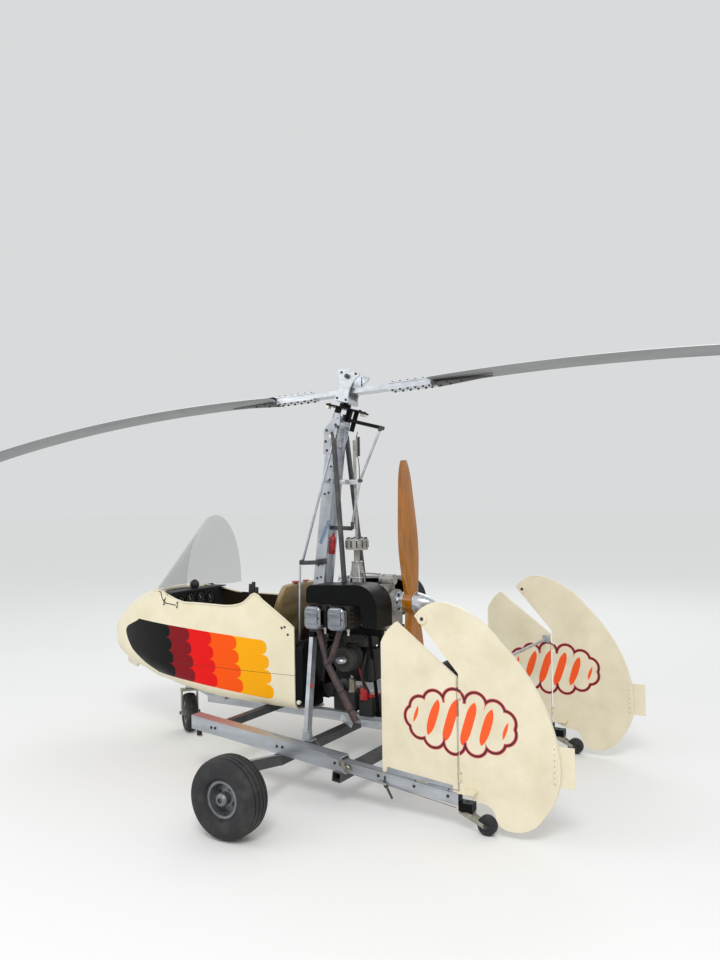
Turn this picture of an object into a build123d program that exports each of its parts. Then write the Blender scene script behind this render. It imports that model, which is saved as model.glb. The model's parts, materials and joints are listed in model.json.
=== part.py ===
from build123d import *
import os
from math import cos, degrees, radians, tan

os.makedirs("parts", exist_ok=True)

# Small open-frame pusher gyroplane: moulded nose pod, flat-four engine behind the mast,
# two rails that carry fins and rudders, and a two-blade teetering rotor.
# Millimetres. Origin on the ground below the rotor, +X forward, +Y left, +Z up.

# Rails and booms
rail_y = 707
rail_size = 76
rail_wall = 4
rail_front_x = 660
rail_front_z = 283
rail_slope = 5.73
rail_rear_x = -345
rail_mitre = 34
boom_size = 54
boom_wall = 3
boom_front_x = -290
boom_rear_x = -994

# Keel and cross tubes
keel_width = 60
keel_low = 224
keel_high = 278
keel_front_x = 1120
keel_rear_x = -350
cross_size = 50
front_cross_size = 42
cross_wall = 3
front_cross_x = 500
mid_cross_x = -325
beam_x = 40
beam_half = 762
axle_x = -76
leg_end_y = 1160
leg_end_z = 287

# Wheels
main_wheel_y = 1307
main_radius = 192.5
main_width = 150
main_rim_radius = 84
axle_radius = 12
running_gap = 0.05
nose_x = 1350
nose_radius = 130
nose_width = 82
nose_rim_radius = 62
rim_lip = 9
nose_turn = -38
caster_x = -1030
caster_trail = 100
caster_radius = 46
caster_width = 30

# Fins and rudders
fin_thickness = 22
fin_front_x = -577
hinge_x = -994
hinge_high = 722
rudder_gap = 9
rudder_front_gap = 4
hinge_pin = 4
hinge_places = (250, 640)
hinge_reach = 22
rudder_low = 182
rudder_high = 742
tab_low = 278
tab_high = 460
tab_rear_x = -1551

# Pod
pod_wall = 5
pod_rear_x = 250
seam_z = 535
opening_front_x = 1602
opening_side_x = 1165

# Mast
mast_foot_x = 330
mast_top_x = 110
mast_top_z = 2030
mast_depth = 76
mast_thick = 25
mast_y = 42

# Rotor head
pivot = Vector(75, 0, 2079)
head_back = 14.5
head_roll = 7.5
teeter_height = 250
teeter_down = 17
underslung = 85
plate_low = 55
plate_high = 65
hub_low = 93
hub_high = 120
tower_y = 60
tower_thick = 12

# Rotor
rotor_radius = 3500
blade_chord = 178
blade_thick = 22
bar_half = 540
bar_width = 66
bar_thick = 30
cone_angle = 2.0
droop_radius = 13900

# Engine and propeller
crank_z = 969
prop_x = -385
prop_hub_half = 32
prop_radius = 835
prop_turn = -5
prop_flange_radius = 58
cylinder_z = 905
exhaust_y = 320
cylinder_x = (62, -96)
fin_count = 11
fin_pitch = 14.5
fin_plate = 3
fin_half = 58
barrel_radius = 47
bearer_y = 125
bearer_low = 778
bearer_high = 814


def save(node, shape):
    """Write one node's solids to its own file."""
    export_step(shape, f"parts/{node}.step")


def sweep_plane(start, end):
    run = Vector(*end) - Vector(*start)
    side = Vector(0, 0, 1).cross(run)
    if side.length < 0.5 * run.length:
        side = Vector(0, 1, 0)
    return Plane(origin=start, x_dir=side, z_dir=run), run.length


def bar(start, end, width, height, wall=0, roll=0):
    """Bar or tube between two points; width is level, or along Y where the bar stands nearly upright."""
    plane, length = sweep_plane(start, end)
    section = Rectangle(width, height)
    if wall:
        section -= Rectangle(width - 2 * wall, height - 2 * wall)
    return extrude(plane * Rot(0, 0, roll) * section, amount=length)


def rod(start, end, radius, wall=0):
    plane, length = sweep_plane(start, end)
    section = Circle(radius)
    if wall:
        section -= Circle(radius - wall)
    return extrude(plane * section, amount=length)


def block(x0, x1, y0, y1, z0, z1):
    """Box between two opposite corners, given in any order."""
    x0, x1 = sorted((x0, x1))
    y0, y1 = sorted((y0, y1))
    z0, z1 = sorted((z0, z1))
    return Pos((x0 + x1) / 2, (y0 + y1) / 2, (z0 + z1) / 2) * Box(x1 - x0, y1 - y0, z1 - z0)


def side_plate(outline, y, thickness):
    """Extrude an XZ outline (a list of edges in X, Z) into a plate centred on y."""
    plane = Plane(origin=(0, y + thickness / 2, 0), x_dir=(1, 0, 0), z_dir=(0, -1, 0))
    return extrude(plane * make_face(outline), amount=thickness)


def mirror_y(shape):
    return mirror(shape, about=Plane.XZ)


def rail_bottom(x):
    return rail_front_z - (rail_front_x - x) * tan(radians(rail_slope))


def boom_top(x):
    return rail_bottom(x) + rail_wall + boom_size


# Rails: a square tube with a mitred rear end, and the boom that slides into it
def sloped_tube(side, size, wall, lift, front, rear, mitre):
    """Square tube along the rail line, open at both ends, its rear end cut at a slant."""
    outline = Polyline(
        (front, rail_bottom(front) + lift),
        (front, rail_bottom(front) + lift + size),
        (rear, rail_bottom(rear) + lift + size),
        (rear - mitre, rail_bottom(rear - mitre) + lift),
        close=True,
    )
    bore = Polyline(
        (front + 5, rail_bottom(front + 5) + lift + wall),
        (front + 5, rail_bottom(front + 5) + lift + size - wall),
        (rear - 60, rail_bottom(rear - 60) + lift + size - wall),
        (rear - 60, rail_bottom(rear - 60) + lift + wall),
        close=True,
    )
    y = side * rail_y
    return side_plate(outline, y, size) - side_plate(bore, y, size - 2 * wall)


def make_rail(side):
    return sloped_tube(side, rail_size, rail_wall, 0, rail_front_x, rail_rear_x, rail_mitre)


def make_boom(side):
    return sloped_tube(side, boom_size, boom_wall, rail_wall, boom_front_x, boom_rear_x, 0)


def make_keel():
    beam = block(keel_rear_x, keel_front_x, -keel_width / 2, keel_width / 2, keel_low, keel_high)
    beam -= block(keel_rear_x - 1, keel_front_x + 1, -keel_width / 2 + 4, keel_width / 2 - 4,
                  keel_low + 4, keel_high - 4)
    for x in (610, 980):
        saddle = block(x - 35, x + 35, -110, 110, keel_high, keel_high + 110)
        beam += saddle - pod_loft(0, 0)
    return beam


def under_rail_z(x):
    """Centre height of a square cross tube bolted flush below the sloping rails."""
    return rail_bottom(x) - cross_size / 2 / cos(radians(rail_slope)) - 0.02


def make_cross_tubes():
    inner = rail_y - rail_size / 2
    front_z = keel_high + front_cross_size / 2
    front = bar((front_cross_x, -inner, front_z), (front_cross_x, inner, front_z),
                front_cross_size, front_cross_size, cross_wall)
    z = under_rail_z(mid_cross_x)
    mid = bar((mid_cross_x, -rail_y - 50, z), (mid_cross_x, rail_y + 50, z),
              cross_size, cross_size, cross_wall, -rail_slope)
    mid += block(mid_cross_x - 24, mid_cross_x + 24, -34, 34, z + 22, keel_low)
    return Compound([front, mid])


def make_axle_beam():
    """Level beam below the rails, raised outer legs, and a drop plate with each stub axle."""
    z = under_rail_z(beam_x)
    beam = bar((beam_x, -beam_half, z), (beam_x, beam_half, z), cross_size, cross_size, cross_wall, -rail_slope)
    beam += block(beam_x - 24, beam_x + 24, -38, 38, z + 22, keel_low)
    for side in (-1, 1):
        leg = bar((beam_x, side * (beam_half - 2), z), (axle_x + 14, side * leg_end_y, leg_end_z), 50, 50, 4)
        plate = block(axle_x - 42, axle_x + 46, side * leg_end_y, side * (leg_end_y + 10), 150, 322)
        stub = rod((axle_x, side * leg_end_y, main_radius), (axle_x, side * (main_wheel_y + 58), main_radius),
                   axle_radius)
        shoulder = rod((axle_x, side * leg_end_y, main_radius), (axle_x, side * (main_wheel_y - 55), main_radius), 22)
        beam += leg + plate + stub + shoulder
    return beam


# Tyres and rims
def tyre_face(radius, rim, width):
    """Tyre section: crown, rounded shoulders, side walls and a bead that seats in the rim."""
    half = width / 2
    shoulder = 0.86 * radius
    bead = half * 0.62
    lip = rim + rim_lip + 0.5
    flank = bead + 6.5
    edges = Polyline((-flank, lip), (-bead, lip), (-bead, rim), (bead, rim), (bead, lip), (flank, lip))
    edges += ThreePointArc((flank, lip), (half, (lip + shoulder) / 2), (half * 0.9, shoulder))
    edges += ThreePointArc((half * 0.9, shoulder), (half * 0.72, radius - 8), (half * 0.5, radius - 3))
    edges += ThreePointArc((half * 0.5, radius - 3), (0, radius), (-half * 0.5, radius - 3))
    edges += ThreePointArc((-half * 0.5, radius - 3), (-half * 0.72, radius - 8), (-half * 0.9, shoulder))
    edges += ThreePointArc((-half * 0.9, shoulder), (-half, (lip + shoulder) / 2), (-flank, lip))
    return make_face(edges)


def drawn_in_yz(face):
    """Turn a face from (across, radius) in XY to the plane through the Y axis."""
    return Plane(origin=(0, 0, 0), x_dir=(0, 1, 0), z_dir=(1, 0, 0)) * face


def make_tyre(radius, rim, width):
    return revolve(drawn_in_yz(tyre_face(radius, rim, width)), axis=Axis.Y)


def make_rim(rim, width, hub_radius, bore, dish):
    """Two-flange rim barrel with a dished disc and a long hub."""
    half = width * 0.31
    lip = rim + rim_lip
    profile = Polyline(
        (-half, lip), (-half - 6, lip), (-half - 6, rim - 9), (-dish + 8, rim - 14),
        (-dish + 8, hub_radius), (-half, hub_radius), (-half, bore), (half + 6, bore),
        (half + 6, hub_radius), (dish + 14, hub_radius), (dish + 2, rim - 14), (half + 6, rim - 9),
        (half + 6, lip), (half, lip), (half, rim - 0.3), (-half, rim - 0.3), close=True,
    )
    return revolve(drawn_in_yz(make_face(profile)), axis=Axis.Y)


# Nose gear
def make_nose_head():
    """Neck from the keel up to a steering barrel that carries the pod's front saddle."""
    neck = bar((keel_front_x - 60, 0, 250), (nose_x - 22, 0, 334), 46, 40)
    neck -= block(keel_front_x - 200, keel_front_x, -30, 30, 200, 300)
    neck += block(keel_front_x, keel_front_x + 40, -30, 30, keel_low, keel_high)
    barrel = rod((nose_x, 0, 297), (nose_x, 0, 350), 26)
    saddle = block(nose_x - 60, nose_x + 50, -60, 60, 344, 410) - pod_loft(0, 0)
    saddle -= rod((nose_x, 0, 350), (nose_x, 0, 420), 30)
    return neck + barrel + saddle - rod((nose_x, 0, 290), (nose_x, 0, 380), 12 + running_gap)


def make_nose_fork():
    leg_y = nose_width / 2 + 12
    crown = block(-24, 24, -leg_y - 6, leg_y + 6, 276, 292)
    legs = Part()
    for side in (-1, 1):
        y = side * leg_y
        legs += bar((0, y, 292), (-8, y, nose_radius - 16), 10, 34)
    pin = rod((0, 0, 290), (0, 0, 360), 12)
    collar = rod((0, 0, 351), (0, 0, 361), 20)
    axle = rod((-8, -leg_y - 10, nose_radius), (-8, leg_y + 10, nose_radius), 8)
    return crown + legs + pin + collar + axle


def turned_nose(shape):
    return Pos(nose_x, 0, 0) * Rot(0, 0, nose_turn) * shape


# Tail casters
def make_caster_fork():
    top = 100
    plate = block(-34, 34, -26, 26, top - 16, top - 8)
    pin = rod((0, 0, top - 12), (0, 0, top + 34), 8)
    arms = Part()
    for side in (-1, 1):
        y = side * (caster_width / 2 + 6)
        outline = Polyline((30, top - 16), (-30, top - 16), (-caster_trail - 15, caster_radius - 4),
                           (-caster_trail + 12, caster_radius - 12), close=True)
        arms += side_plate(outline, y, 4)
    axle = rod((-caster_trail, -26, caster_radius), (-caster_trail, 26, caster_radius), 6)
    return plate + pin + arms + axle


def make_caster_mount(side):
    y = side * rail_y
    body = block(boom_rear_x, caster_x - 34, y - 27, y + 27, 97, 138)
    return body - rod((caster_x, y, 90), (caster_x, y, 140), 8 + running_gap)


# Fins and rudders
def make_fin(side):
    y = side * rail_y
    rear = hinge_x + rudder_gap
    edges = Polyline((fin_front_x, 860), (fin_front_x, boom_top(fin_front_x)), (rear, boom_top(rear)),
                     (rear, hinge_high), (-672, 962))
    edges += ThreePointArc((-672, 962), (-664, 967), (-656, 962))
    edges += ThreePointArc((-656, 962), (-612, 920), (fin_front_x, 860))
    fin = side_plate(edges, y, fin_thickness)
    for z in hinge_places:
        fin += rod((hinge_x, y, z - hinge_reach), (hinge_x, y, z + hinge_reach), hinge_pin)
        for low in (z - hinge_reach, z + hinge_reach - 3):
            fin += block(hinge_x, rear + 20, y - 6, y + 6, low, low + 3)
            fin += rod((hinge_x, y, low), (hinge_x, y, low + 3), 6)
    return fin


def make_rudder(side):
    y = side * rail_y
    front = hinge_x - rudder_front_gap
    edges = Polyline((-1100, 146), (front, rudder_low), (front, rudder_high), (-768, 1004))
    edges += ThreePointArc((-768, 1004), (-822, 1054), (-930, 1078))
    edges += ThreePointArc((-930, 1078), (-1098, 1010), (-1218, 898))
    edges += ThreePointArc((-1218, 898), (-1398, 668), (-1479, 439))
    edges += ThreePointArc((-1479, 439), (-1479, 270), (-1405, 127))
    edges += ThreePointArc((-1405, 127), (-1328, 56), (-1240, 41))
    edges += ThreePointArc((-1240, 41), (-1196, 58), (-1174, 104))
    edges += ThreePointArc((-1174, 104), (-1148, 136), (-1100, 146))
    blade = side_plate(edges, y, fin_thickness)
    for z in hinge_places:
        blade -= block(front - 12, front + 2, y - 20, y + 20, z - hinge_reach - 6, z + hinge_reach + 6)
        knuckle = rod((hinge_x, y, z - 16), (hinge_x, y, z + 16), 7)
        knuckle += block(hinge_x - 30, hinge_x, y - 3, y + 3, z - 16, z + 16)
        blade += knuckle - rod((hinge_x, y, z - 17), (hinge_x, y, z + 17), hinge_pin + running_gap)
    tab = block(tab_rear_x, -1440, y - 1.5, y + 1.5, tab_low, tab_high)
    weight = rod((-812, y - 17, 992), (-812, y + 17, 992), 26)
    horn = block(front - 92, front - 14, y - 72, y + 72, 196, 202)
    return blade + tab + weight + horn


# Pod: one lofted shell, cut at the moulding seam
# x, half width, lowest z, highest z, corner radius
pod_sections = (
    (250, 300, 326, 1060, 60),
    (440, 305, 328, 1066, 70),
    (620, 310, 331, 1072, 79),
    (800, 312, 334, 1075, 90),
    (960, 310, 342, 1070, 104),
    (1110, 304, 353, 1059, 119),
    (1250, 296, 366, 1045, 135),
    (1400, 279, 382, 1020, 159),
    (1560, 250, 404, 978, 175),
    (1690, 217, 430, 929, 167),
    (1800, 178, 460, 872, 150),
    (1870, 146, 486, 824, 127),
    (1930, 108, 518, 768, 95),
    (1965, 74, 552, 718, 66),
    (1990, 46, 580, 678, 42),
)


def pod_loft(inset, start_shift):
    faces = []
    for x, half, low, high, corner in pod_sections:
        place = x + start_shift if x == pod_rear_x else x - inset
        plane = Plane(origin=(place, 0, (low + high) / 2), x_dir=(0, 1, 0), z_dir=(1, 0, 0))
        faces.append(plane * RectangleRounded(2 * (half - inset), high - low - 2 * inset, corner - inset))
    return loft(faces)


def make_pod():
    shell = pod_loft(0, 0) - pod_loft(pod_wall, -20)
    side_cut = Polyline((1330, 1300), (1330, 972), (opening_side_x, 934), (740, 929))
    side_cut += ThreePointArc((740, 929), (628, 952), (538, 1016))
    side_cut += Polyline((538, 1016), (215, 797), (215, 1300), (1330, 1300))
    shell -= side_plate(side_cut, 0, 800)
    oval = Pos(opening_side_x, 0, 820) * extrude(Ellipse(opening_front_x - opening_side_x, 262), amount=400)
    shell -= oval & block(opening_side_x, 1800, -400, 400, 700, 1300)
    shell -= block(200, 405, -70, 70, 250, 420)
    upper = shell & block(0, 2200, -500, 500, seam_z, 1500)
    lower = shell & block(0, 2200, -500, 500, 0, seam_z)
    return upper, lower


def make_windscreen():
    """Oblique half-oval sheet that wraps round the front of the opening and leans back."""
    outer_x = opening_front_x - opening_side_x - 8
    ring = Ellipse(outer_x, 282) - Ellipse(outer_x - 4, 278)
    ring = Pos(opening_side_x + 30, 0, 920) * ring
    sheet = extrude(ring, amount=820, dir=(-0.682, 0, 0.731))
    keep = Polyline((1112, 800), (1106, 1180), (1098, 1480), (1098, 1600), (1900, 1600), (1900, 800), close=True)
    sheet &= side_plate(keep, 0, 900)
    return sheet - pod_loft(0, 0)


def make_panel():
    """Instrument board that fits the pod's walls, with a hood and a round compass."""
    board = pod_loft(pod_wall, -20) & block(1280, 1294, -400, 400, 690, 982)
    hood = pod_loft(pod_wall, -20) & block(1240, 1330, -400, 400, 974, 982)
    compass = Pos(1290, 0, 1008) * Sphere(32)
    return board + hood + compass


def make_seat():
    back = bar((650, 0, 430), (392, 0, 1060), 400, 60)
    base = bar((630, 0, 410), (1030, 0, 440), 420, 70)
    riser = pod_loft(pod_wall, -20) & block(660, 960, -150, 150, 300, 400)
    return back + base + riser


def make_bulkhead():
    plane = Plane(origin=(196, 0, 0), x_dir=(0, 1, 0), z_dir=(1, 0, 0))
    sheet = extrude(plane * Pos(0, 535) * RectangleRounded(584, 400, 56), amount=pod_rear_x - 196)
    return sheet - block(150, 300, -75, 75, 300, 900)


# Mast
def mast_x(z):
    return mast_foot_x + (mast_top_x - mast_foot_x) * (z - keel_high) / (mast_top_z - keel_high)


def make_mast():
    lean = Vector(mast_top_x - mast_foot_x, 0, mast_top_z - keel_high)
    uprights = Part()
    for side in (-1, 1):
        y = side * mast_y
        plane = Plane(origin=(mast_foot_x, y, keel_high), x_dir=(0, 1, 0), z_dir=lean)
        section = Rectangle(mast_thick, mast_depth) - Rectangle(mast_thick - 6, mast_depth - 6)
        uprights += extrude(plane * section, amount=lean.length)
    trim = block(0, 500, -100, 100, keel_high - 40, keel_high)
    for side in (-1, 1):
        cheek = Polyline((52, 2050), (52, 2079))
        cheek += ThreePointArc((52, 2079), (75, 2102), (98, 2079))
        cheek += Polyline((98, 2079), (168, 2010), (178, 1860), (100, 1860), (52, 2050))
        y = side * (mast_y + mast_thick / 2 + 4)
        uprights += side_plate(cheek, y, 8) - rod((75, -90, 2079), (75, 90, 2079), 8 + running_gap)
    foot = block(mast_foot_x - 50, mast_foot_x + 60, -mast_y - 20, mast_y + 20, keel_high, keel_high + 12)
    cross = rod((mast_x(1700), -95, 1690), (mast_x(1700), 95, 1690), 9)
    spacer = block(mast_x(1940) - 25, mast_x(1940) + 25, -mast_y, mast_y, 1900, 1930)
    return uprights - trim + foot + cross + spacer


def make_mast_braces():
    pair = []
    for side in (-1, 1):
        brace = bar((92, side * 75.5, 1975), (-20, side * (bearer_y + 1), bearer_high - 8), 24, 22, 3)
        pair.append(brace - block(-100, 100, -200, 200, bearer_high - 60, bearer_high))
    return Compound(pair)


def make_side_struts():
    pair = []
    beam_top = rail_bottom(beam_x)
    for side in (-1, 1):
        brace = bar((57, side * 455, 262), (112, side * 298, bearer_low + 3), 44, 26, 3)
        brace -= block(0, 300, -400, 400, bearer_low, bearer_low + 60)
        base = block(beam_x - 25, beam_x + 40, side * 427, side * 487, beam_top + 2.4, 230)
        fork = bar((57, side * 458, 227), (58, side * 452, 282), 30, 46)
        pair.append(brace + base + fork)
    return Compound(pair)


def make_engine_mount():
    """Two bearers from the mast along the crankcase, outer arms, and rear legs to the keel."""
    mount = block(196, 220, -bearer_y - 14, bearer_y + 14, bearer_low, bearer_high)
    mount += block(196, 262, -mast_y + mast_thick / 2, mast_y - mast_thick / 2, bearer_low, bearer_high)
    for side in (-1, 1):
        y = side * bearer_y
        mount += block(-262, 220, y - 14, y + 14, bearer_low, bearer_high)
        mount += block(94, 130, y, side * 316, bearer_low, bearer_low + 30)
        mount += bar((-240, y, bearer_low + 10), (-310, side * 24, keel_high + 4), 24, 24)
        mount += rod((-163, side * 112, bearer_low + 2), (-163, side * 20, keel_high + 2), 11)
        mount += block(-178, -148, side * 6, side * 29, keel_high, keel_high + 16)
    mount += block(-345, -285, -29, 29, keel_high, keel_high + 14)
    return mount


# Engine
def make_crankcase():
    case = block(-268, 120, -105, 105, 800, 1010)
    case = fillet(case.edges().filter_by(Axis.X), 34)
    nose = Plane(origin=(-268, 0, crank_z), x_dir=(0, 1, 0), z_dir=(-1, 0, 0))
    drum = extrude(nose * Circle(72), amount=28)
    front = Plane(origin=(120, 0, cylinder_z), x_dir=(0, 1, 0), z_dir=(1, 0, 0))
    pulley = extrude(front * Circle(70), amount=24)
    top = block(-250, 40, -60, 60, 1005, 1060)
    top = fillet(top.edges().filter_by(Axis.Z), 20)
    return case + drum + pulley + top


def make_cylinders(side):
    bank = []
    for x in cylinder_x:
        barrel = rod((x, side * 105, cylinder_z), (x, side * 338, cylinder_z), barrel_radius)
        for place in range(fin_count):
            y = side * (128 + place * fin_pitch)
            plane = Plane(origin=(x, y, cylinder_z), x_dir=(1, 0, 0), z_dir=(0, side, 0))
            barrel += extrude(plane * RectangleRounded(2 * fin_half, 2 * fin_half, 18), amount=fin_plate)
        barrel += block(x - 66, x + 66, side * 284, side * 338, cylinder_z - 63, cylinder_z + 63)
        for z in (-38, -13, 12, 37):
            barrel -= block(x - 70, x + 70, side * 292, side * 326, cylinder_z + z, cylinder_z + z + 7) - block(
                x - 40, x + 40, side * 280, side * 340, 700, 1100)
        bank.append(barrel)
    return Compound(bank)


def make_rocker_covers():
    covers = []
    for side in (-1, 1):
        for x in cylinder_x:
            lid = block(x - 58, x + 58, min(side * 338.5, side * 388), max(side * 338.5, side * 388), 832, 968)
            lid = fillet(lid.edges().filter_by(Axis.Y), 34)
            outer = lid.faces().sort_by(Axis.Y)[-1 if side > 0 else 0]
            covers.append(fillet(outer.edges(), 16))
    return Compound(covers)


def make_cowls():
    pair = []
    for side in (-1, 1):
        outline = Polyline((150, 980), (150, 1040))
        outline += ThreePointArc((150, 1040), (138, 1068), (110, 1080))
        outline += Polyline((110, 1080), (-190, 1092))
        outline += ThreePointArc((-190, 1092), (-285, 1055), (-325, 960))
        outline += Polyline((-325, 960), (-325, 850), (-319, 850), (-319, 960))
        outline += ThreePointArc((-319, 960), (-280, 1050), (-190, 1086))
        outline += Polyline((-190, 1086), (110, 1074))
        outline += ThreePointArc((110, 1074), (134, 1064), (144, 1040))
        outline += Polyline((144, 1040), (144, 980), (150, 980))
        shell = side_plate(outline, side * 222, 180)
        wall = Polyline((149, 973), (149, 1040))
        wall += ThreePointArc((149, 1040), (137, 1067), (110, 1079))
        wall += Polyline((110, 1079), (-190, 1091))
        wall += ThreePointArc((-190, 1091), (-284, 1054), (-324, 960))
        wall += Polyline((-324, 960), (-324, 850), (-235, 850), (-215, 973), (149, 973))
        pair.append(shell + side_plate(wall, side * 310.5, 3))
    return Compound(pair)


def make_exhausts():
    """Two headers a side that meet in one pipe running down and back."""
    pair = []
    port_z = cylinder_z - 63
    for side in (-1, 1):
        y = side * exhaust_y
        join = (8, y, 640)
        pipe = rod((cylinder_x[0] + 3, y, port_z + 10), join, 17)
        pipe += rod((cylinder_x[1], y, port_z + 10), (-24, y, 664), 17)
        pipe += rod((-24, y, 664), (4, y, 622), 17)
        pipe += Pos(-24, y, 664) * Sphere(17)
        pipe += Pos(*join) * Sphere(21)
        pipe += rod(join, (-185, y, 322), 21)
        pair.append(pipe - block(-300, 300, y - 50, y + 50, port_z, port_z + 60))
    return Compound(pair)


def make_accessories():
    """Oil sump with the generator on its left side, and the starter and magneto on top of the case."""
    sump = block(-140, 60, -90, 90, 700, 799.5)
    sump = fillet(sump.edges().filter_by(Axis.Z), 30)
    drum = rod((-40, 95, 640), (-40, 215, 640), 70)
    pulley = rod((-40, 215, 640), (-40, 232, 640), 34)
    stay = block(-70, -10, 60, 150, 640, 720)
    starter = rod((-300, 42, 1102), (-218, 42, 1102), 30) + rod((-218, 42, 1102), (-200, 42, 1102), 20)
    starter += block(-285, -230, 28, 56, 1060.2, 1102) - block(-330, -250, 0, 90, 1000, 1070)
    magneto = rod((-246, -44, 1096), (-180, -44, 1096), 26) + block(-232, -192, -60, -28, 1060.2, 1096)
    return Compound([sump + drum + pulley + stay, starter, magneto])


def make_prerotator():
    """Upright gearbox on the crankcase, its clutch drum, and the drive shaft up to the head."""
    base = rod((-15, 0, 1060), (-15, 0, 1190), 32)
    neck = rod((-15, 0, 1190), (-16, 0, 1275), 18)
    drum = rod((-16, 0, 1272), (-18, 0, 1338), 68)
    shaft = rod((-18, 0, 1330), (2, -18, 1940), 9)
    return base + neck + drum + shaft


def make_propeller():
    """Two-blade wooden propeller, its blades upright, built from lens sections."""
    hub_plane = Plane(origin=(prop_x + prop_hub_half, 0, crank_z), x_dir=(0, 1, 0), z_dir=(-1, 0, 0))
    prop = extrude(hub_plane * Circle(62), amount=2 * prop_hub_half)
    # radius, chord, thickness, pitch angle
    stations = ((36, 84, 40, -50), (110, 96, 34, -46), (250, 126, 25, -36), (430, 138, 18, -27),
                (640, 118, 12, -20), (780, 88, 8, -16), (prop_radius, 52, 5, -14))
    for way in (-1, 1):
        faces = []
        for r, chord, thick, pitch in stations:
            plane = Plane(origin=(prop_x, 0, crank_z + way * r), x_dir=(0, 1, 0), z_dir=(0, 0, way))
            plane = plane.rotated((0, 0, pitch))
            edges = ThreePointArc((-chord / 2, 0), (0, thick * 0.7), (chord / 2, 0))
            edges += ThreePointArc((chord / 2, 0), (0, -thick * 0.3), (-chord / 2, 0))
            faces.append(plane * make_face(edges))
        prop += loft(faces)
    for face in (prop_x + prop_hub_half, prop_x - prop_hub_half):
        away = 1 if face > prop_x else -1
        prop -= rod((face, 0, crank_z), (face + away * 90, 0, crank_z), 61)
    hub_axis = Axis((prop_x, 0, crank_z), (1, 0, 0))
    return prop.rotate(hub_axis, prop_turn)


def make_spinner():
    face = Polyline((128, 4), (128, 0), (0, 0), (0, 60))
    face += ThreePointArc((0, 60), (64, 44), (128, 4))
    cone = revolve(make_face(face), axis=Axis.X)
    return Pos(prop_x - prop_hub_half, 0, crank_z) * Rot(0, 0, 180) * cone


def make_prop_flange():
    plane = Plane(origin=(-296.5, 0, crank_z), x_dir=(0, 1, 0), z_dir=(-1, 0, 0))
    length = -296.5 - prop_x - prop_hub_half
    neck = extrude(plane * Circle(44), amount=length)
    disc = extrude(plane * Circle(prop_flange_radius), amount=14)
    boss = extrude(plane * Pos(0, 0, length - 16) * Circle(prop_flange_radius), amount=16)
    return neck + disc + boss


# Rotor head, drawn level about its pivot and then tilted
head = Pos(*pivot) * Rot(0, -head_back, 0)
rolled = head * Rot(head_roll, 0, 0)
rotor = rolled * Pos(0, 0, teeter_height) * Rot(0, teeter_down, 0)


def make_gimbal():
    body = block(-30, 30, -48, 48, -26, 26)
    body += rod((0, -72, 0), (0, 72, 0), 8)
    body -= rod((-40, 0, 0), (40, 0, 0), 8 + running_gap)
    return head * body


def make_torque_plate():
    plate = block(-150, 112, -46, 46, plate_low, plate_high)
    for x in (-42, 42):
        plate += block(x - 5, x + 5, -30, 30, -18, plate_low)
    plate += rod((-52, 0, 0), (52, 0, 0), 8)
    plate += bar((-46, 0, -4), (-300, 0, -4), 34, 20)
    plate += rod((0, 0, plate_high), (0, 0, hub_low - 5), 36)
    plate += rod((0, 0, plate_high), (0, 0, hub_high - 4), 12)
    plate += rod((-76, -25, -66), (-76, -25, plate_low), 15)
    return rolled * plate


def make_rotor_hub():
    hub = block(-46, 46, -tower_y - 6, tower_y + 6, hub_low, hub_high)
    hub -= rod((0, 0, hub_low - 1), (0, 0, hub_high - 3), 12 + running_gap)
    for side in (-1, 1):
        edges = Polyline((-46, hub_low), (46, hub_low), (46, 112))
        edges += ThreePointArc((46, 112), (38, 180), (78, 262))
        edges += Polyline((78, 262), (74, 282), (14, 296), (-74, 290), (-80, 272))
        edges += ThreePointArc((-80, 272), (-38, 190), (-46, 112))
        edges += Polyline((-46, 112), (-46, hub_low))
        hub += side_plate(edges, side * tower_y, tower_thick)
    hub += rod((0, -tower_y - 16, teeter_height), (0, tower_y + 16, teeter_height), 9)
    return rolled * hub


def make_hub_bar():
    low = -underslung - bar_thick / 2
    high = -underslung + bar_thick / 2
    beam = block(-bar_half, bar_half, -bar_width / 2, bar_width / 2, low, high)
    yoke = block(-34, 34, -47, 47, high, 24)
    yoke -= rod((0, -60, 0), (0, 60, 0), 9 + running_gap)
    for way in (-1, 1):
        x0, x1 = sorted((way * 260, way * bar_half))
        beam += block(x0, x1, -bar_width / 2 - 5, bar_width / 2 + 5, high, high + 7)
        beam += block(x0, x1, -bar_width / 2 - 5, bar_width / 2 + 5, low - 7, low)
    return rotor * (beam + yoke)


def make_blade(way):
    """Blade of constant section that droops along a large arc beyond its root."""
    nose = blade_chord * 0.32
    tail = blade_chord * 0.68
    half = blade_thick / 2
    edges = ThreePointArc((nose - 14, -half + 3), (nose, 0), (nose - 14, half - 1))
    edges += ThreePointArc((nose - 14, half - 1), (10, half + 3), (-tail, 1))
    edges += Line((-tail, 1), (-tail, -1.5))
    edges += Line((-tail, -1.5), (nose - 14, -half + 3))
    section = make_face(edges)
    start = bar_half + 6
    plane = Plane(origin=(start, 0, -underslung), x_dir=(0, -way, 0), z_dir=(1, 0, 0))
    turn = degrees((rotor_radius - start) / droop_radius)
    centre = Axis((start, 0, -underslung - droop_radius), (0, 1, 0))
    blade = revolve(plane * section, axis=centre, revolution_arc=turn)
    blade = Pos(start, 0, -underslung) * Rot(0, -cone_angle, 0) * Pos(-start, 0, underslung) * blade
    if way < 0:
        blade = Rot(0, 0, 180) * blade
    return rotor * blade


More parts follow.
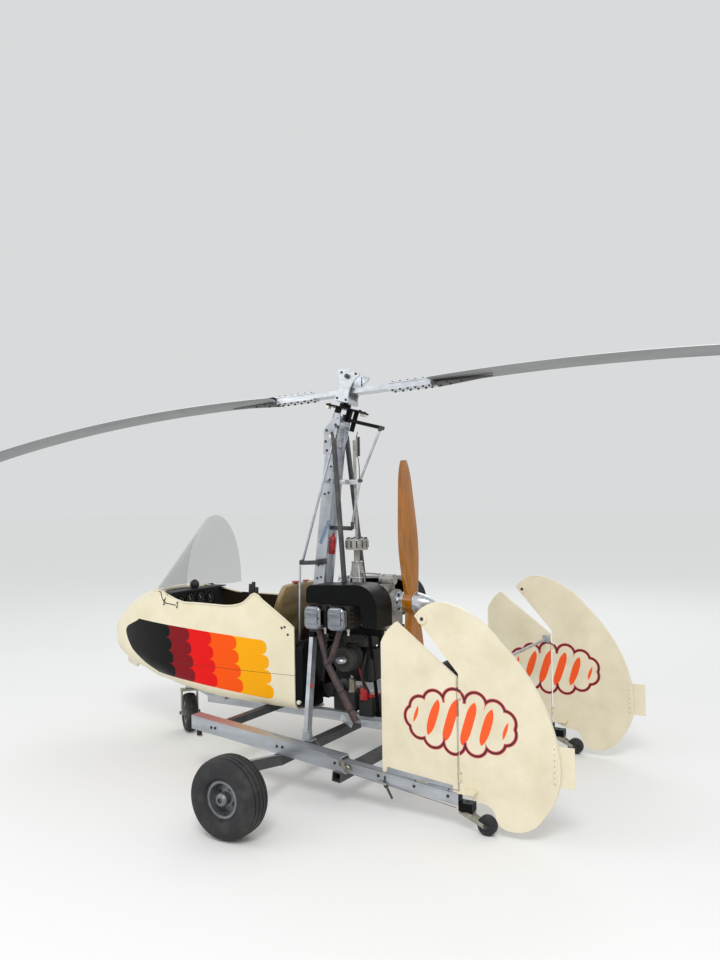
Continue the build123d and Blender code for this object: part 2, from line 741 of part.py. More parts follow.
upper, lower = make_pod()
save("pod_upper", upper)
save("pod_lower", lower)
save("windscreen", make_windscreen())
save("instrument_panel", make_panel())
save("seat", make_seat())
save("bulkhead", make_bulkhead())
save("keel", make_keel())
save("cross_tubes", make_cross_tubes())
save("axle_beam", make_axle_beam())
save("nose_head", make_nose_head())
save("mast", make_mast())
save("mast_braces", make_mast_braces())
save("side_struts", make_side_struts())
save("engine_mount", make_engine_mount())
save("crankcase", make_crankcase())
save("rocker_covers", make_rocker_covers())
save("cowls", make_cowls())
save("exhausts", make_exhausts())
save("accessories", make_accessories())
save("prerotator", make_prerotator())
save("propeller", make_propeller())
save("spinner", make_spinner())
save("prop_flange", make_prop_flange())
save("head_gimbal", make_gimbal())
save("torque_plate", make_torque_plate())
save("rotor_hub", make_rotor_hub())
save("hub_bar", make_hub_bar())
save("blade_front", make_blade(1))
save("blade_rear", make_blade(-1))
save("fin_brace", rod((hinge_x + 30, -rail_y + 11, 690), (hinge_x + 30, rail_y - 11, 690), 9))

main_tyre = make_tyre(main_radius, main_rim_radius, main_width)
main_rim = make_rim(main_rim_radius, main_width, 30, axle_radius + running_gap, 6)
save("nose_fork", turned_nose(make_nose_fork()))
nose_spot = Pos(-8, 0, nose_radius)
save("nose_tyre", turned_nose(nose_spot * make_tyre(nose_radius, nose_rim_radius, nose_width)))
save("nose_rim", turned_nose(nose_spot * make_rim(nose_rim_radius, nose_width, 20, 8 + running_gap, 4)))
caster_wheel = revolve(drawn_in_yz(Pos(0, (caster_radius + 6) / 2 + running_gap / 2)
                                   * Rectangle(caster_width, caster_radius - 6 - running_gap)), axis=Axis.Y)
for name, side in (("left", 1), ("right", -1)):
    hub_place = Pos(axle_x, side * main_wheel_y, main_radius)
    save(f"main_tyre_{name}", hub_place * main_tyre)
    save(f"main_rim_{name}", hub_place * (main_rim if side > 0 else mirror_y(main_rim)))
    save(f"rail_{name}", make_rail(side))
    save(f"boom_{name}", make_boom(side))
    save(f"fin_{name}", make_fin(side))
    save(f"rudder_{name}", make_rudder(side))
    save(f"cylinders_{name}", make_cylinders(side))
    save(f"caster_mount_{name}", make_caster_mount(side))
    caster_place = Pos(caster_x, side * rail_y, 0)
    save(f"caster_fork_{name}", caster_place * make_caster_fork())
    save(f"caster_wheel_{name}", caster_place * Pos(-caster_trail, 0, caster_radius) * caster_wheel)
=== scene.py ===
import bpy
import json
from math import cos, pi, radians, sin, tau
from mathutils import Matrix, Vector


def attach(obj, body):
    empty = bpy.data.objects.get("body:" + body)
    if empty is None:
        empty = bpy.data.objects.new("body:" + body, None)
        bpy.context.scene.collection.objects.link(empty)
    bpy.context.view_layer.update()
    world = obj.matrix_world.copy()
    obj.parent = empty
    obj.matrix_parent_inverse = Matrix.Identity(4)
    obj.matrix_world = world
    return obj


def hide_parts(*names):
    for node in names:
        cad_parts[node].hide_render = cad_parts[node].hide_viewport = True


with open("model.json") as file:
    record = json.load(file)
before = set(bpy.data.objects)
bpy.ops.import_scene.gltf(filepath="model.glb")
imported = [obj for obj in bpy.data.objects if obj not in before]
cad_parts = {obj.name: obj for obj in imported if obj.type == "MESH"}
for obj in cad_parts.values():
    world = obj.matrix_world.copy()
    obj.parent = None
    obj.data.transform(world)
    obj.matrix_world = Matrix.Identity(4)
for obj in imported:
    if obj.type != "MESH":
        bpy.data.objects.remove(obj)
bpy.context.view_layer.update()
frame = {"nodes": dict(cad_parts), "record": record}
nodes = frame["nodes"]
mm = 0.001  # lengths are in millimetres, unless a comment says metres


def hexColour(text):  # sRGB hex to linear
    parts = [int(text[i:i + 2], 16) / 255 for i in (0, 2, 4)]
    return tuple(c / 12.92 if c <= 0.04045 else ((c + 0.055) / 1.055) ** 2.4 for c in parts) + (1.0,)


# Materials
def addNode(tree, kind, settings=None, links=None):
    node = tree.nodes.new("ShaderNode" + kind)
    for key, value in (settings or {}).items():
        if isinstance(key, int) or key in node.inputs:
            node.inputs[key].default_value = value
        else:
            setattr(node, key, value)
    for socket, source in (links or {}).items():
        if isinstance(source, (int, float)):
            node.inputs[socket].default_value = source
        else:
            tree.links.new(source if isinstance(source, bpy.types.NodeSocket) else source.outputs[0],
                           node.inputs[socket])
    return node


def rampStops(node, stops, interpolation="LINEAR"):
    ramp = node.color_ramp
    ramp.interpolation = interpolation
    while len(ramp.elements) < len(stops):
        ramp.elements.new(0.5)
    for element, (place, colour) in zip(ramp.elements, stops):
        element.position = place
        element.color = colour if isinstance(colour, tuple) else (colour, colour, colour, 1)
    return node


def paintOver(tree, amount, under, over):
    source = {7: hexColour(over)} if isinstance(over, str) else {}
    links = {0: amount, 6: under} if source else {0: amount, 6: under, 7: over}
    return addNode(tree, "Mix", {"data_type": "RGBA", **source}, links).outputs[2]


# One surface: two tones mixed by a grain, a roughness spread, a fine bump and soft dirt in patches
def makeLook(name, look):
    material = bpy.data.materials.new(name)
    material.use_nodes = True
    tree = material.node_tree
    tree.nodes.clear()
    place = addNode(tree, "TexCoord").outputs["Object"]
    stretch = look.get("stretch", (1, 1, 1))
    grain = addNode(tree, "Mapping", {"Scale": [s * 1000 / look["grain"] for s in stretch]},
                    {"Vector": place})
    tone = addNode(tree, "TexNoise", {"Scale": 1.0, "Detail": 6.0, "Roughness": 0.6}, {"Vector": grain})
    toneRamp = rampStops(addNode(tree, "ValToRGB", None, {0: tone}),
                         [(0.3, hexColour(look["tone"])), (0.7, hexColour(look["colour"]))])
    patches = addNode(tree, "TexNoise", {"Scale": 1000 / look.get("patch", 180), "Detail": 4.0},
                      {"Vector": place})
    dirtRamp = rampStops(addNode(tree, "ValToRGB", None, {0: patches}),
                         [(0.48, 0.0), (0.78, look.get("dirtAmount", 0.3))])
    colour = paintOver(tree, dirtRamp, toneRamp, look["dirt"])
    low, high = look["roughness"]
    rough = addNode(tree, "MapRange", {3: low, 4: high}, {0: tone})
    fine = addNode(tree, "Mapping", {"Scale": [s * 1000 / look["bump"] for s in stretch]},
                   {"Vector": place})
    relief = addNode(tree, "TexNoise", {"Scale": 1.0, "Detail": 3.0}, {"Vector": fine})
    strength, depth = look.get("bumpStrength", 0.2), look.get("bumpDepth", 0.2) * mm
    bump = addNode(tree, "Bump", {"Strength": strength, "Distance": depth}, {"Height": relief})
    shader = addNode(tree, "BsdfPrincipled",
                     {"Metallic": look.get("metallic", 0.0), "Coat Weight": look.get("coat", 0.0),
                      "Coat Roughness": 0.06, "Alpha": look.get("alpha", 1.0),
                      "Specular IOR Level": look.get("specular", 0.5)},
                     {"Base Color": colour, "Roughness": rough, "Normal": bump})
    addNode(tree, "OutputMaterial", None, {0: shader})
    return material, tree, shader, colour, place


# Each look: the row's values as lookKeys names them, then what differs from makeLook's defaults
lookKeys = ("colour", "tone", "dirt", "grain", "bump", "roughness", "slot")
lookTable = {
    # sprayed gelcoat over fibre glass: an even gloss with slow yellowing
    "gelcoat": ("ebe2c8", "e0d6b8", "b9a97e", 260, 30, (0.24, 0.36), "gelcoat",
        {"bumpDepth": 0.15, "coat": 0.04, "specular": 0.12, "dirtAmount": 0.2}),
    # brushed house paint on plywood or sheet: cream, less gloss, light orange peel
    "creamPaint": ("e4dbc2", "d8ceb2", "a99c78", 150, 9, (0.3, 0.45), "fin_paint",
        {"bumpDepth": 0.25, "dirtAmount": 0.25}),
    # drawn aluminium tube, dulled by weather, with long drawing lines
    "drawnTube": ("c6cad0", "a3a8ae", "6d6c66", 60, 4, (0.32, 0.5), "tube",
        {"metallic": 0.85, "stretch": (0.06, 1, 1), "dirtAmount": 0.4}),
    # steel tube under old grey-black paint, dusty on top
    "darkTube": ("4a4b4d", "313235", "7b746a", 40, 3, (0.42, 0.6), "dark_tube",
        {"metallic": 0.3, "dirtAmount": 0.35}),
    # gloss black paint on sheet metal and brackets
    "blackPaint": ("0b0c0e", "060607", "1d1b19", 120, 14, (0.3, 0.44), "black",
        {"specular": 0.1, "dirtAmount": 0.35}),
    # sand-cast aluminium: matt, grainy, oily in patches
    "castAlloy": ("b6b4ad", "8d8b85", "35312b", 9, 1.6, (0.48, 0.66), "cast",
        {"metallic": 0.35, "bumpDepth": 0.5, "bumpStrength": 0.45, "dirtAmount": 0.5, "patch": 60}),
    # finned iron barrel, heat-darkened
    "ironBarrel": ("3a3835", "242322", "5a4a3c", 12, 1.8, (0.5, 0.72), "barrel",
        {"metallic": 0.5, "dirtAmount": 0.4, "patch": 50}),
    # bright chrome plate with faint ripples
    "chromePlate": ("979ba1", "7c8188", "55554f", 70, 25, (0.05, 0.13), "chrome",
        {"metallic": 1.0, "bumpStrength": 0.1, "dirtAmount": 0.2}),
    # bare steel pipe, oxidised brown-grey by heat
    "oxidisedPipe": ("5b5052", "3f3739", "755a4a", 22, 2, (0.5, 0.7), "exhaust",
        {"metallic": 0.6, "bumpStrength": 0.35, "dirtAmount": 0.5, "patch": 70}),
    # varnished laminated hardwood: amber, gloss, long grain along the blade
    "varnishedWood": ("a9670d", "824f09", "5a3306", 14, 6, (0.14, 0.26), "wood",
        {"stretch": (1.6, 1, 0.06), "coat": 0.7, "dirtAmount": 0.3, "patch": 200}),
    # spun aluminium, polished
    "spunAlloy": ("cfd2d6", "b4b8bd", "8a8984", 40, 2, (0.14, 0.26), "spinner",
        {"metallic": 1.0, "stretch": (3, 0.4, 0.4)}),
    # moulded tyre rubber with road dust
    "tyreRubber": ("26262a", "19191b", "5d564c", 30, 2.5, (0.62, 0.85), "tyre",
        {"bumpStrength": 0.4, "dirtAmount": 0.4, "patch": 90}),
    # cast wheel with dull silver paint
    "wheelAlloy": ("8f9193", "6a6c6f", "3c3934", 25, 2, (0.35, 0.55), "rim",
        {"metallic": 0.75, "dirtAmount": 0.5, "patch": 50}),
    # zinc-plated pressed steel
    "zincSteel": ("b6b3a6", "918e82", "6b5a45", 16, 3, (0.3, 0.48), "caster_metal",
        {"metallic": 0.9, "dirtAmount": 0.45, "patch": 40}),
    # extruded blade skin: grey sheet with a satin finish
    "bladeSkin": ("9a9b9c", "858689", "6f6d69", 90, 8, (0.34, 0.48), "blade",
        {"metallic": 0.55, "stretch": (0.1, 1, 1)}),
    # machined aluminium, bright with fine tool marks
    "machinedAlloy": ("d3d6da", "b3b8bd", "85847f", 18, 1.5, (0.26, 0.42), "head_metal",
        {"metallic": 0.85, "stretch": (0.3, 1, 1), "dirtAmount": 0.25}),
    # thick acrylic sheet, lightly smoked
    "smokedScreen": ("646966", "575c59", "6f6f68", 400, 60, (0.03, 0.08), "screen",
        {"bumpStrength": 0.05, "alpha": 0.16}),
    # crackle-painted panel
    "panelBlack": ("222224", "151517", "333230", 6, 1.4, (0.5, 0.7), "panel", {"bumpStrength": 0.35}),
    # grained vinyl over foam
    "seatVinyl": ("a28b62", "86724e", "6a583c", 40, 1.8, (0.45, 0.62), "seat",
        {"bumpStrength": 0.45, "dirtAmount": 0.4, "patch": 120}),
    # moulded rubber or plastic grips and hoses
    "blackRubber": ("1d1d1f", "141415", "33302c", 20, 2, (0.5, 0.7), "black", {}),
    # red insulated lead and red painted fittings
    "redPaint": ("b0181c", "8e1013", "5a0c0c", 30, 5, (0.25, 0.4), "black", {"coat": 0.3}),
    # twisted stainless cable
    "steelCable": ("8f9296", "6e7176", "4c4a46", 3, 1, (0.3, 0.45), "caster_metal", {"metallic": 0.95}),
    # dark phosphated bolt heads
    "boltSteel": ("5b5c5f", "3d3e41", "6a523c", 6, 1, (0.32, 0.5), "dark_tube",
        {"metallic": 0.9, "dirtAmount": 0.3, "patch": 20}),
    # enamel figures and pale plastic
    "paleEnamel": ("e9e5d8", "d9d4c4", "9a947f", 30, 5, (0.35, 0.5), "gelcoat", {}),
    # faded blue adhesive tape
    "blueTape": ("6f88a0", "5c748c", "8a8f92", 20, 4, (0.45, 0.6), "tube", {}),
    # clear moulded lens
    "clearLens": ("c9d2d4", "bcc6c8", "9aa3a3", 60, 20, (0.03, 0.07), "screen", {"alpha": 0.3}),
}
lookTable = {name: {**dict(zip(lookKeys, row)), **row[-1]} for name, row in lookTable.items()}
looks = {}
trees = {}
for name, look in lookTable.items():
    material, *parts = makeLook(name, look)
    looks[name] = material
    trees[name] = parts
print("materials made", len(looks))

# Painted bands on the pod's sides, in metres of the frame
bands = {"edges": (1.195, 1.015, 0.827, 0.63, 0.402),
         "colours": ("040405", "7c0815", "de0b08", "f25200", "f2a500"),
         "topAt": 0.7046, "topRise": 0.054, "lowAt": 0.3485, "lowRise": 0.07, "rows": 4, "lobe": 0.045,
         "lobePower": 2.5, "lean": 0.016, "rear": 0.3, "length": 1.2,
         "front": ((0.0, 1.36), (0.13, 1.53), (0.33, 1.66), (0.62, 1.76), (0.78, 1.73), (0.9, 1.63),
                   (1.0, 1.56)),
         "frontAt": 1.3, "frontSpan": 0.5, "seamZ": 0.535, "seamFrontX": 1.2, "seamHalf": 0.0012,
         # the inside colour is painted shade on the shell's inner face
         "seamColour": "3b352a", "inside": "2b221b", "axisZ": 0.66}
# Generic painted badge on each fin and rudder, in metres: a scalloped outline and plain strokes
badge = {"x": -1.0, "z": 0.512, "halfLength": 0.235, "halfHeight": 0.1, "lobes": 13, "lobe": 0.056,
         "line": 0.0045, "fringe": 0.009, "outline": "35040a", "red": "c9444a", "bar": "ee5208",
         "barStep": 0.095, "barLean": 0.32, "barWide": 0.26, "barReach": 0.92, "barTaper": 5.0}


def addRows(tree, made, rows):  # each row: name, what the maths node does, then what it reads
    for name, operation, *sources in rows:
        links = {i: made[source] if isinstance(source, str) else source for i, source in enumerate(sources)}
        made[name] = addNode(tree, "Math", {"operation": operation}, links)


def splitPlace(tree, place):
    split = addNode(tree, "SeparateXYZ", None, {0: place})
    return {"x": split.outputs[0], "y": split.outputs[1], "z": split.outputs[2]}


def paintBands():
    tree, shader, colour, place = trees["gelcoat"]
    made = splitPlace(tree, place)
    addRows(tree, made, [
        ("top", "MULTIPLY_ADD", "x", bands["topRise"], bands["topAt"]),
        ("low", "MULTIPLY_ADD", "x", bands["lowRise"], bands["lowAt"]),
        ("above", "SUBTRACT", "z", "low"),
        ("depth", "SUBTRACT", "top", "low"),
        ("height", "DIVIDE", "above", "depth"),
        ("row", "MULTIPLY", "height", bands["rows"]),
        ("part", "FRACT", "row"),
        ("across", "MULTIPLY_ADD", "part", 2.0, -1.0),
        ("side", "ABSOLUTE", "across"),
        ("bend", "POWER", "side", bands["lobePower"]),
        ("round", "SUBTRACT", 1.0, "bend"),
        ("bulge", "SQRT", "round"),
        ("index", "FLOOR", "row"),
        ("lean", "MULTIPLY_ADD", "index", -bands["lean"], "x"),  # lower rows reach further back
        ("back", "MULTIPLY_ADD", "bulge", bands["lobe"], "lean"),
        ("fromRear", "SUBTRACT", "back", bands["rear"]),
        ("along", "DIVIDE", "fromRear", bands["length"]),
        ("behindFront", "GREATER_THAN", "back", bands["edges"][4] + bands["lobe"]),
        ("aboveLow", "GREATER_THAN", "height", 0.0),
        ("belowTop", "LESS_THAN", "height", 1.0),
    ])
    edges = [(edge + bands["lobe"] - bands["rear"]) / bands["length"] for edge in bands["edges"]]
    stops = [(0.0, hexColour(bands["colours"][4]))]
    stops += [(edges[i], hexColour(bands["colours"][i])) for i in (3, 2, 1, 0)]
    paint = rampStops(addNode(tree, "ValToRGB", None, {0: made["along"]}), stops, "CONSTANT")
    stops = [(t, (v - bands["frontAt"]) / bands["frontSpan"]) for t, v in bands["front"]]
    ramp = addNode(tree, "ValToRGB", None, {0: made["height"]})
    made["front"] = rampStops(ramp, stops, "B_SPLINE")
    addRows(tree, made, [
        ("frontX", "MULTIPLY_ADD", "front", bands["frontSpan"], bands["frontAt"]),
        ("inFront", "LESS_THAN", "x", "frontX"),
        ("both", "MULTIPLY", "behindFront", "inFront"),
        ("level", "MULTIPLY", "aboveLow", "belowTop"),
        ("inside", "MULTIPLY", "both", "level"),
        # the moulding seam is a fine dark line on the rear half
        ("offSeam", "SUBTRACT", "z", bands["seamZ"]),
        ("fromSeam", "ABSOLUTE", "offSeam"),
        ("onSeam", "LESS_THAN", "fromSeam", bands["seamHalf"]),
        ("rearHalf", "LESS_THAN", "x", bands["seamFrontX"]),
        ("seam", "MULTIPLY", "onSeam", "rearHalf"),
    ])
    # the inner face of the shell is painted dark brown as shade: its normal points to the shell's middle line
    axis = addNode(tree, "CombineXYZ", {2: bands["axisZ"]}, {0: made["x"]})
    outward = addNode(tree, "VectorMath", {"operation": "SUBTRACT"}, {0: place, 1: axis})
    normal = addNode(tree, "NewGeometry").outputs["Normal"]
    facing = addNode(tree, "VectorMath", {"operation": "DOT_PRODUCT"},
                     {0: outward, 1: normal}).outputs["Value"]
    innerShade = addNode(tree, "Math", {"operation": "LESS_THAN", 1: -0.02}, {0: facing})
    painted = paintOver(tree, made["inside"], colour, paint.outputs[0])
    seamed = paintOver(tree, made["seam"], painted, bands["seamColour"])
    tree.links.new(paintOver(tree, innerShade, seamed, bands["inside"]), shader.inputs["Base Color"])


def paintBadge():
    tree, shader, colour, place = trees["creamPaint"]
    made = splitPlace(tree, place)
    halves = (badge["halfLength"], 1, badge["halfHeight"])
    addRows(tree, made, [
        ("dx", "SUBTRACT", "x", badge["x"]),
        ("dz", "SUBTRACT", "z", badge["z"]),
    ])
    flat = addNode(tree, "CombineXYZ", None, {0: made["dx"], 2: made["dz"]})
    squashed = addNode(tree, "VectorMath", {"operation": "DIVIDE", 1: halves}, {0: flat})
    length = addNode(tree, "VectorMath", {"operation": "LENGTH"}, {0: squashed})
    size = length.outputs["Value"]
    addRows(tree, made, [("edge", "SUBTRACT", size, 1.0),
                         ("nearest", "MULTIPLY", "edge", badge["halfHeight"])])
    for i in range(badge["lobes"]):
        angle = tau * i / badge["lobes"]
        middle = (badge["halfLength"] * cos(angle), 0, badge["halfHeight"] * sin(angle))
        far = addNode(tree, "VectorMath", {"operation": "DISTANCE", 1: middle}, {0: flat})
        addRows(tree, made, [("lobe", "SUBTRACT", far.outputs["Value"], badge["lobe"]),
                             ("nearest", "MINIMUM", "nearest", "lobe")])
    addRows(tree, made, [
        ("fromLine", "ABSOLUTE", "nearest"),
        ("line", "LESS_THAN", "fromLine", badge["line"]),
        ("fringe", "LESS_THAN", "fromLine", badge["fringe"]),
        ("slant", "MULTIPLY_ADD", "dz", badge["barLean"], "dx"),
        ("steps", "DIVIDE", "slant", badge["barStep"]),
        ("part", "FRACT", "steps"),
        ("offBar", "SUBTRACT", "part", 0.5),
        ("fromBar", "ABSOLUTE", "offBar"),
        ("reach", "MULTIPLY", size, badge["barReach"]),
        ("power", "POWER", "reach", badge["barTaper"]),
        ("taper", "MULTIPLY_ADD", "power", -badge["barWide"], badge["barWide"]),
        ("bar", "LESS_THAN", "fromBar", "taper"),
    ])
    for name, shade in (("bar", "bar"), ("fringe", "red"), ("line", "outline")):
        colour = paintOver(tree, made[name], colour, badge[shade])
    tree.links.new(colour, shader.inputs["Base Color"])


# Painted highlight along the blades' edges, by how far the surface faces sideways
paintedEdgeSheen = {"from": 0.45, "to": 0.8, "colour": "d9dcdf"}
# Painted shade on the engine's underside, darker towards the bottom, in metres of height
engineShadeBelow = {"from": 0.84, "to": 0.77, "amount": 0.88, "colour": "1d1b19"}


def brightenEdges():
    tree, shader, colour, place = trees["bladeSkin"]
    # lightens the blade skin where it faces sideways: a painted highlight
    normal = addNode(tree, "NewGeometry").outputs["Normal"]
    side = addNode(tree, "Math", {"operation": "ABSOLUTE"}, {0: splitPlace(tree, normal)["y"]})
    amount = addNode(tree, "MapRange", {1: paintedEdgeSheen["from"], 2: paintedEdgeSheen["to"]}, {0: side})
    tree.links.new(paintOver(tree, amount, colour, paintedEdgeSheen["colour"]), shader.inputs["Base Color"])


def darkenBelow():
    tree, shader, colour, place = trees["castAlloy"]
    # darkens the cast alloy towards the bottom: painted shade under the engine
    height = splitPlace(tree, place)["z"]
    span = {1: engineShadeBelow["from"], 2: engineShadeBelow["to"], 3: 0.0, 4: engineShadeBelow["amount"]}
    amount = addNode(tree, "MapRange", span, {0: height})
    tree.links.new(paintOver(tree, amount, colour, engineShadeBelow["colour"]), shader.inputs["Base Color"])


paintBands()
paintBadge()
brightenEdges()
darkenBelow()

slotLook = {look["slot"]: name for name, look in reversed(list(lookTable.items()))}
for row in frame["record"]["subparts"]:
    node = nodes[row["node"]]
    node.data.materials.clear()
    node.data.materials.append(looks[slotLook[row["material_slot"]]])
print("frame painted", len(nodes))


# Makers: each gives an object whose place is in its mesh
def deselect():
    bpy.ops.object.select_all(action="DESELECT")


def onlySelect(objects):
    deselect()
    for obj in objects:
        obj.select_set(True)
    bpy.context.view_layer.objects.active = objects[0]


def applyPlace(obj):
    onlySelect([obj])
    bpy.ops.object.transform_apply(location=True, rotation=True, scale=True)
    return obj


def bevelEdges(obj, width, segments=2, angle=30):
    onlySelect([obj])
    edge = obj.modifiers.new("edge", "BEVEL")
    edge.width = width * mm
    edge.segments = segments
    edge.limit_method = "ANGLE"
    edge.angle_limit = radians(angle)
    bpy.ops.object.modifier_apply(modifier="edge")
    return obj


def makeBlock(low, high, bevel=0, segments=2):
    low, high = Vector(low) * mm, Vector(high) * mm
    deselect()
    bpy.ops.mesh.primitive_cube_add(size=1, location=(low + high) / 2)
    obj = bpy.context.object
    obj.scale = high - low
    applyPlace(obj)
    return bevelEdges(obj, bevel, segments) if bevel else obj


def aimed(start, end):
    start, end = Vector(start) * mm, Vector(end) * mm
    run = end - start
    return (start + end) / 2, run.to_track_quat("Z", "Y").to_euler(), run.length


def makeRod(start, end, radius, bevel=0, sides=28):
    middle, turn, length = aimed(start, end)
    deselect()
    bpy.ops.mesh.primitive_cylinder_add(vertices=sides, radius=radius * mm, depth=length, location=middle,
                                        rotation=turn)
    obj = applyPlace(bpy.context.object)
    return bevelEdges(obj, bevel, 2, 50) if bevel else obj


def makeBar(start, end, width, height, bevel=1):
    middle, turn, length = aimed(start, end)
    deselect()
    bpy.ops.mesh.primitive_cube_add(size=1, location=middle, rotation=turn)
    obj = bpy.context.object
    obj.scale = (width * mm, height * mm, length)
    applyPlace(obj)
    return bevelEdges(obj, bevel) if bevel else obj


def makeBall(place, radius, squash=1.0):
    deselect()
    bpy.ops.mesh.primitive_uv_sphere_add(segments=28, ring_count=16, radius=radius * mm,
                                         location=Vector(place) * mm, scale=(1, 1, squash))
    return applyPlace(bpy.context.object)


def makeRing(place, axis, radius, thick, rings=48, sides=12):
    deselect()
    turn = Vector(axis).to_track_quat("Z", "Y").to_euler()
    bpy.ops.mesh.primitive_torus_add(location=Vector(place) * mm, rotation=turn, major_radius=radius * mm,
                                     minor_radius=thick * mm, major_segments=rings, minor_segments=sides)
    return applyPlace(bpy.context.object)


def makeHose(points, radius, steps=10, sides=3):  # smooth pipe through points
    data = bpy.data.curves.new("hose", "CURVE")
    data.dimensions = "3D"
    data.resolution_u = steps
    data.bevel_depth = radius * mm
    data.bevel_resolution = sides
    data.use_fill_caps = True
    line = data.splines.new("BEZIER")
    line.bezier_points.add(len(points) - 1)
    for point, place in zip(line.bezier_points, points):
        point.co = Vector(place) * mm
        point.handle_left_type = point.handle_right_type = "AUTO"
    obj = bpy.data.objects.new("hose", data)
    bpy.context.collection.objects.link(obj)
    onlySelect([obj])
    bpy.ops.object.convert(target="MESH")
    return bpy.context.object


def makeLathe(profile, place, axis, steps=56):  # profile is (along the axis, radius)
    data = bpy.data.meshes.new("lathe")
    verts = [(radius * mm, 0, along * mm) for along, radius in profile]
    data.from_pydata(verts, [(i, i + 1) for i in range(len(verts) - 1)], [])
    obj = bpy.data.objects.new("lathe", data)
    bpy.context.collection.objects.link(obj)
    onlySelect([obj])
    bpy.ops.object.mode_set(mode="EDIT")
    bpy.ops.mesh.select_all(action="SELECT")
    bpy.ops.mesh.spin(steps=steps, angle=tau, center=(0, 0, 0), axis=(0, 0, 1))
    bpy.ops.mesh.select_all(action="SELECT")
    bpy.ops.mesh.remove_doubles(threshold=0.00001)
    bpy.ops.mesh.normals_make_consistent(inside=False)
    bpy.ops.object.mode_set(mode="OBJECT")
    obj.rotation_euler = Vector(axis).to_track_quat("Z", "Y").to_euler()
    obj.location = Vector(place) * mm
    return applyPlace(obj)


def makeBolts(spots, axis, radius, height, sides=6):  # one head modelled, then copied with its own mesh
    axis = Vector(axis).normalized()
    first = spots[0]
    head = makeRod(first, Vector(first) + axis * height, radius, radius * 0.12, sides)
    washer = makeRod(first, Vector(first) + axis * height * 0.25, radius * 1.35, 0, 20)
    model = joinAll([head, washer])
    heads = [model]
    for spot in spots[1:]:
        copy = model.copy()
        copy.data = model.data.copy()
        bpy.context.collection.objects.link(copy)
        copy.location = (Vector(spot) - Vector(first)) * mm
        heads.append(applyPlace(copy))
    return joinAll(heads)


def joinAll(objects):
    if len(objects) > 1:
        onlySelect(objects)
        bpy.ops.object.join()
    return objects[0]


def finishPiece(name, objects, look, body="airframe", smooth=35):
    obj = joinAll(objects)
    obj.name = obj.data.name = name
    obj.data.materials.clear()
    obj.data.materials.append(looks[look])
    onlySelect([obj])
    bpy.ops.object.shade_smooth_by_angle(angle=radians(smooth))
    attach(obj, body)
    return obj


def dressFrame(rows):  # each row: name, look, then its parts, each a maker and its values
    for name, look, *parts in rows:
        finishPiece(name, [make(*values) for make, *values in parts], look)


def boltsThrough(spots, middle, reach, *size):  # heads on both faces of a plate at that y
    return [makeBolts([(x, middle + face * reach, z) for x, z in spots], (0, face, 0), *size)
            for face in (1, -1)]


def firstHit(start, direction, names):  # nearest point of those CAD nodes along a line
    start = Vector(start)
    hits = [nodes[name].ray_cast(start * mm, Vector(direction)) for name in names]
    spots = [hit[1] / mm for hit in hits if hit[0]]
    return min(spots, key=lambda spot: (spot - start).length, default=None)


# Wheels
mainTyre = {"radius": 192.5, "rim": 93, "half": 75, "grooves": (-40, -14, 14, 40), "grooveHalf": 3.5,
            "grooveDeep": 6, "x": -76, "y": 1307, "z": 192.5}
noseTyre = {"radius": 130, "rim": 71, "half": 41, "grooves": (-18, 0, 18), "grooveHalf": 2.5, "grooveDeep": 4,
            "x": 1343.7, "y": 4.9, "z": 130, "turn": -38, "nutOut": 63.5, "nutLong": 7}
mainHub = {"boltOut": 21, "boltReach": 50, "boltTurns": (0.5, 2.07, 3.64, 5.21), "capOut": 51,
           "cap": ((0, 30), (3, 33), (6, 32), (14, 27), (17, 20), (17, 12.6)), "nutOut": 58, "nutEnd": 66,
           "ringOut": 48.5, "ring": ((0, 88), (0, 95.5), (2.5, 96), (4, 93.5), (4, 88))}


def tyreProfile(size):
    radius, rim, half = size["radius"], size["rim"], size["half"]
    wall = ((0.66, rim - 8), (0.72, rim + 1), (0.86, rim + 7), (0.97, rim + 22), (1, (radius + rim) / 2),
            (0.985, radius * 0.82), (0.93, radius * 0.86), (0.935, radius * 0.875), (0.86, radius * 0.93),
            (0.7, radius - 7))
    crown = []
    for middle in size["grooves"]:
        level = radius - 4.5 * (middle / half / 0.6) ** 2
        wide = size["grooveHalf"]
        groove = ((wide + 1, level), (wide, level - 1), (wide - 0.6, level - size["grooveDeep"]))
        crown += [(middle - across, out) for across, out in groove]
        crown += [(middle + across, out) for across, out in reversed(groove)]
    side = [(-half * share, out) for share, out in wall]
    other = [(-along, out) for along, out in reversed(side)]
    return side + crown + other + [side[0]]


for way, side in ((1, "left"), (-1, "right")):
    place = Vector((mainTyre["x"], way * mainTyre["y"], mainTyre["z"]))
    out = Vector((0, way, 0))
    body = "main_wheel_" + side
    tyre = makeLathe(tyreProfile(mainTyre), place, (0, 1, 0), 96)
    tyre = finishPiece("tyre_" + side, [tyre], "tyreRubber", body, 28)
    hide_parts("main_tyre_" + side)
    spots = [place + out * mainHub["boltOut"] + Vector((cos(a), 0, sin(a))) * mainHub["boltReach"]
             for a in mainHub["boltTurns"]]
    finishPiece("wheel_bolts_" + side, [makeBolts(spots, out, 7, 8)], "boltSteel", body)
    cap = makeLathe(mainHub["cap"], place + out * mainHub["capOut"], out, 40)
    finishPiece("hub_cap_" + side, [cap], "wheelAlloy", body)
    nut = makeRod(place + out * mainHub["nutOut"], place + out * mainHub["nutEnd"], 11, 1, 6)
    finishPiece("axle_nut_" + side, [nut], "boltSteel")
    ring = makeLathe(mainHub["ring"], place + out * mainHub["ringOut"], out, 72)
    finishPiece("rim_ring_" + side, [ring], "machinedAlloy", body)
turn = radians(noseTyre["turn"])
noseAxle = Vector((-sin(turn), cos(turn), 0))
nosePlace = Vector((noseTyre["x"], noseTyre["y"], noseTyre["z"]))
tyre = makeLathe(tyreProfile(noseTyre), nosePlace, noseAxle, 80)
tyre = finishPiece("tyre_nose", [tyre], "tyreRubber", "nose_wheel", 28)
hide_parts("nose_tyre")
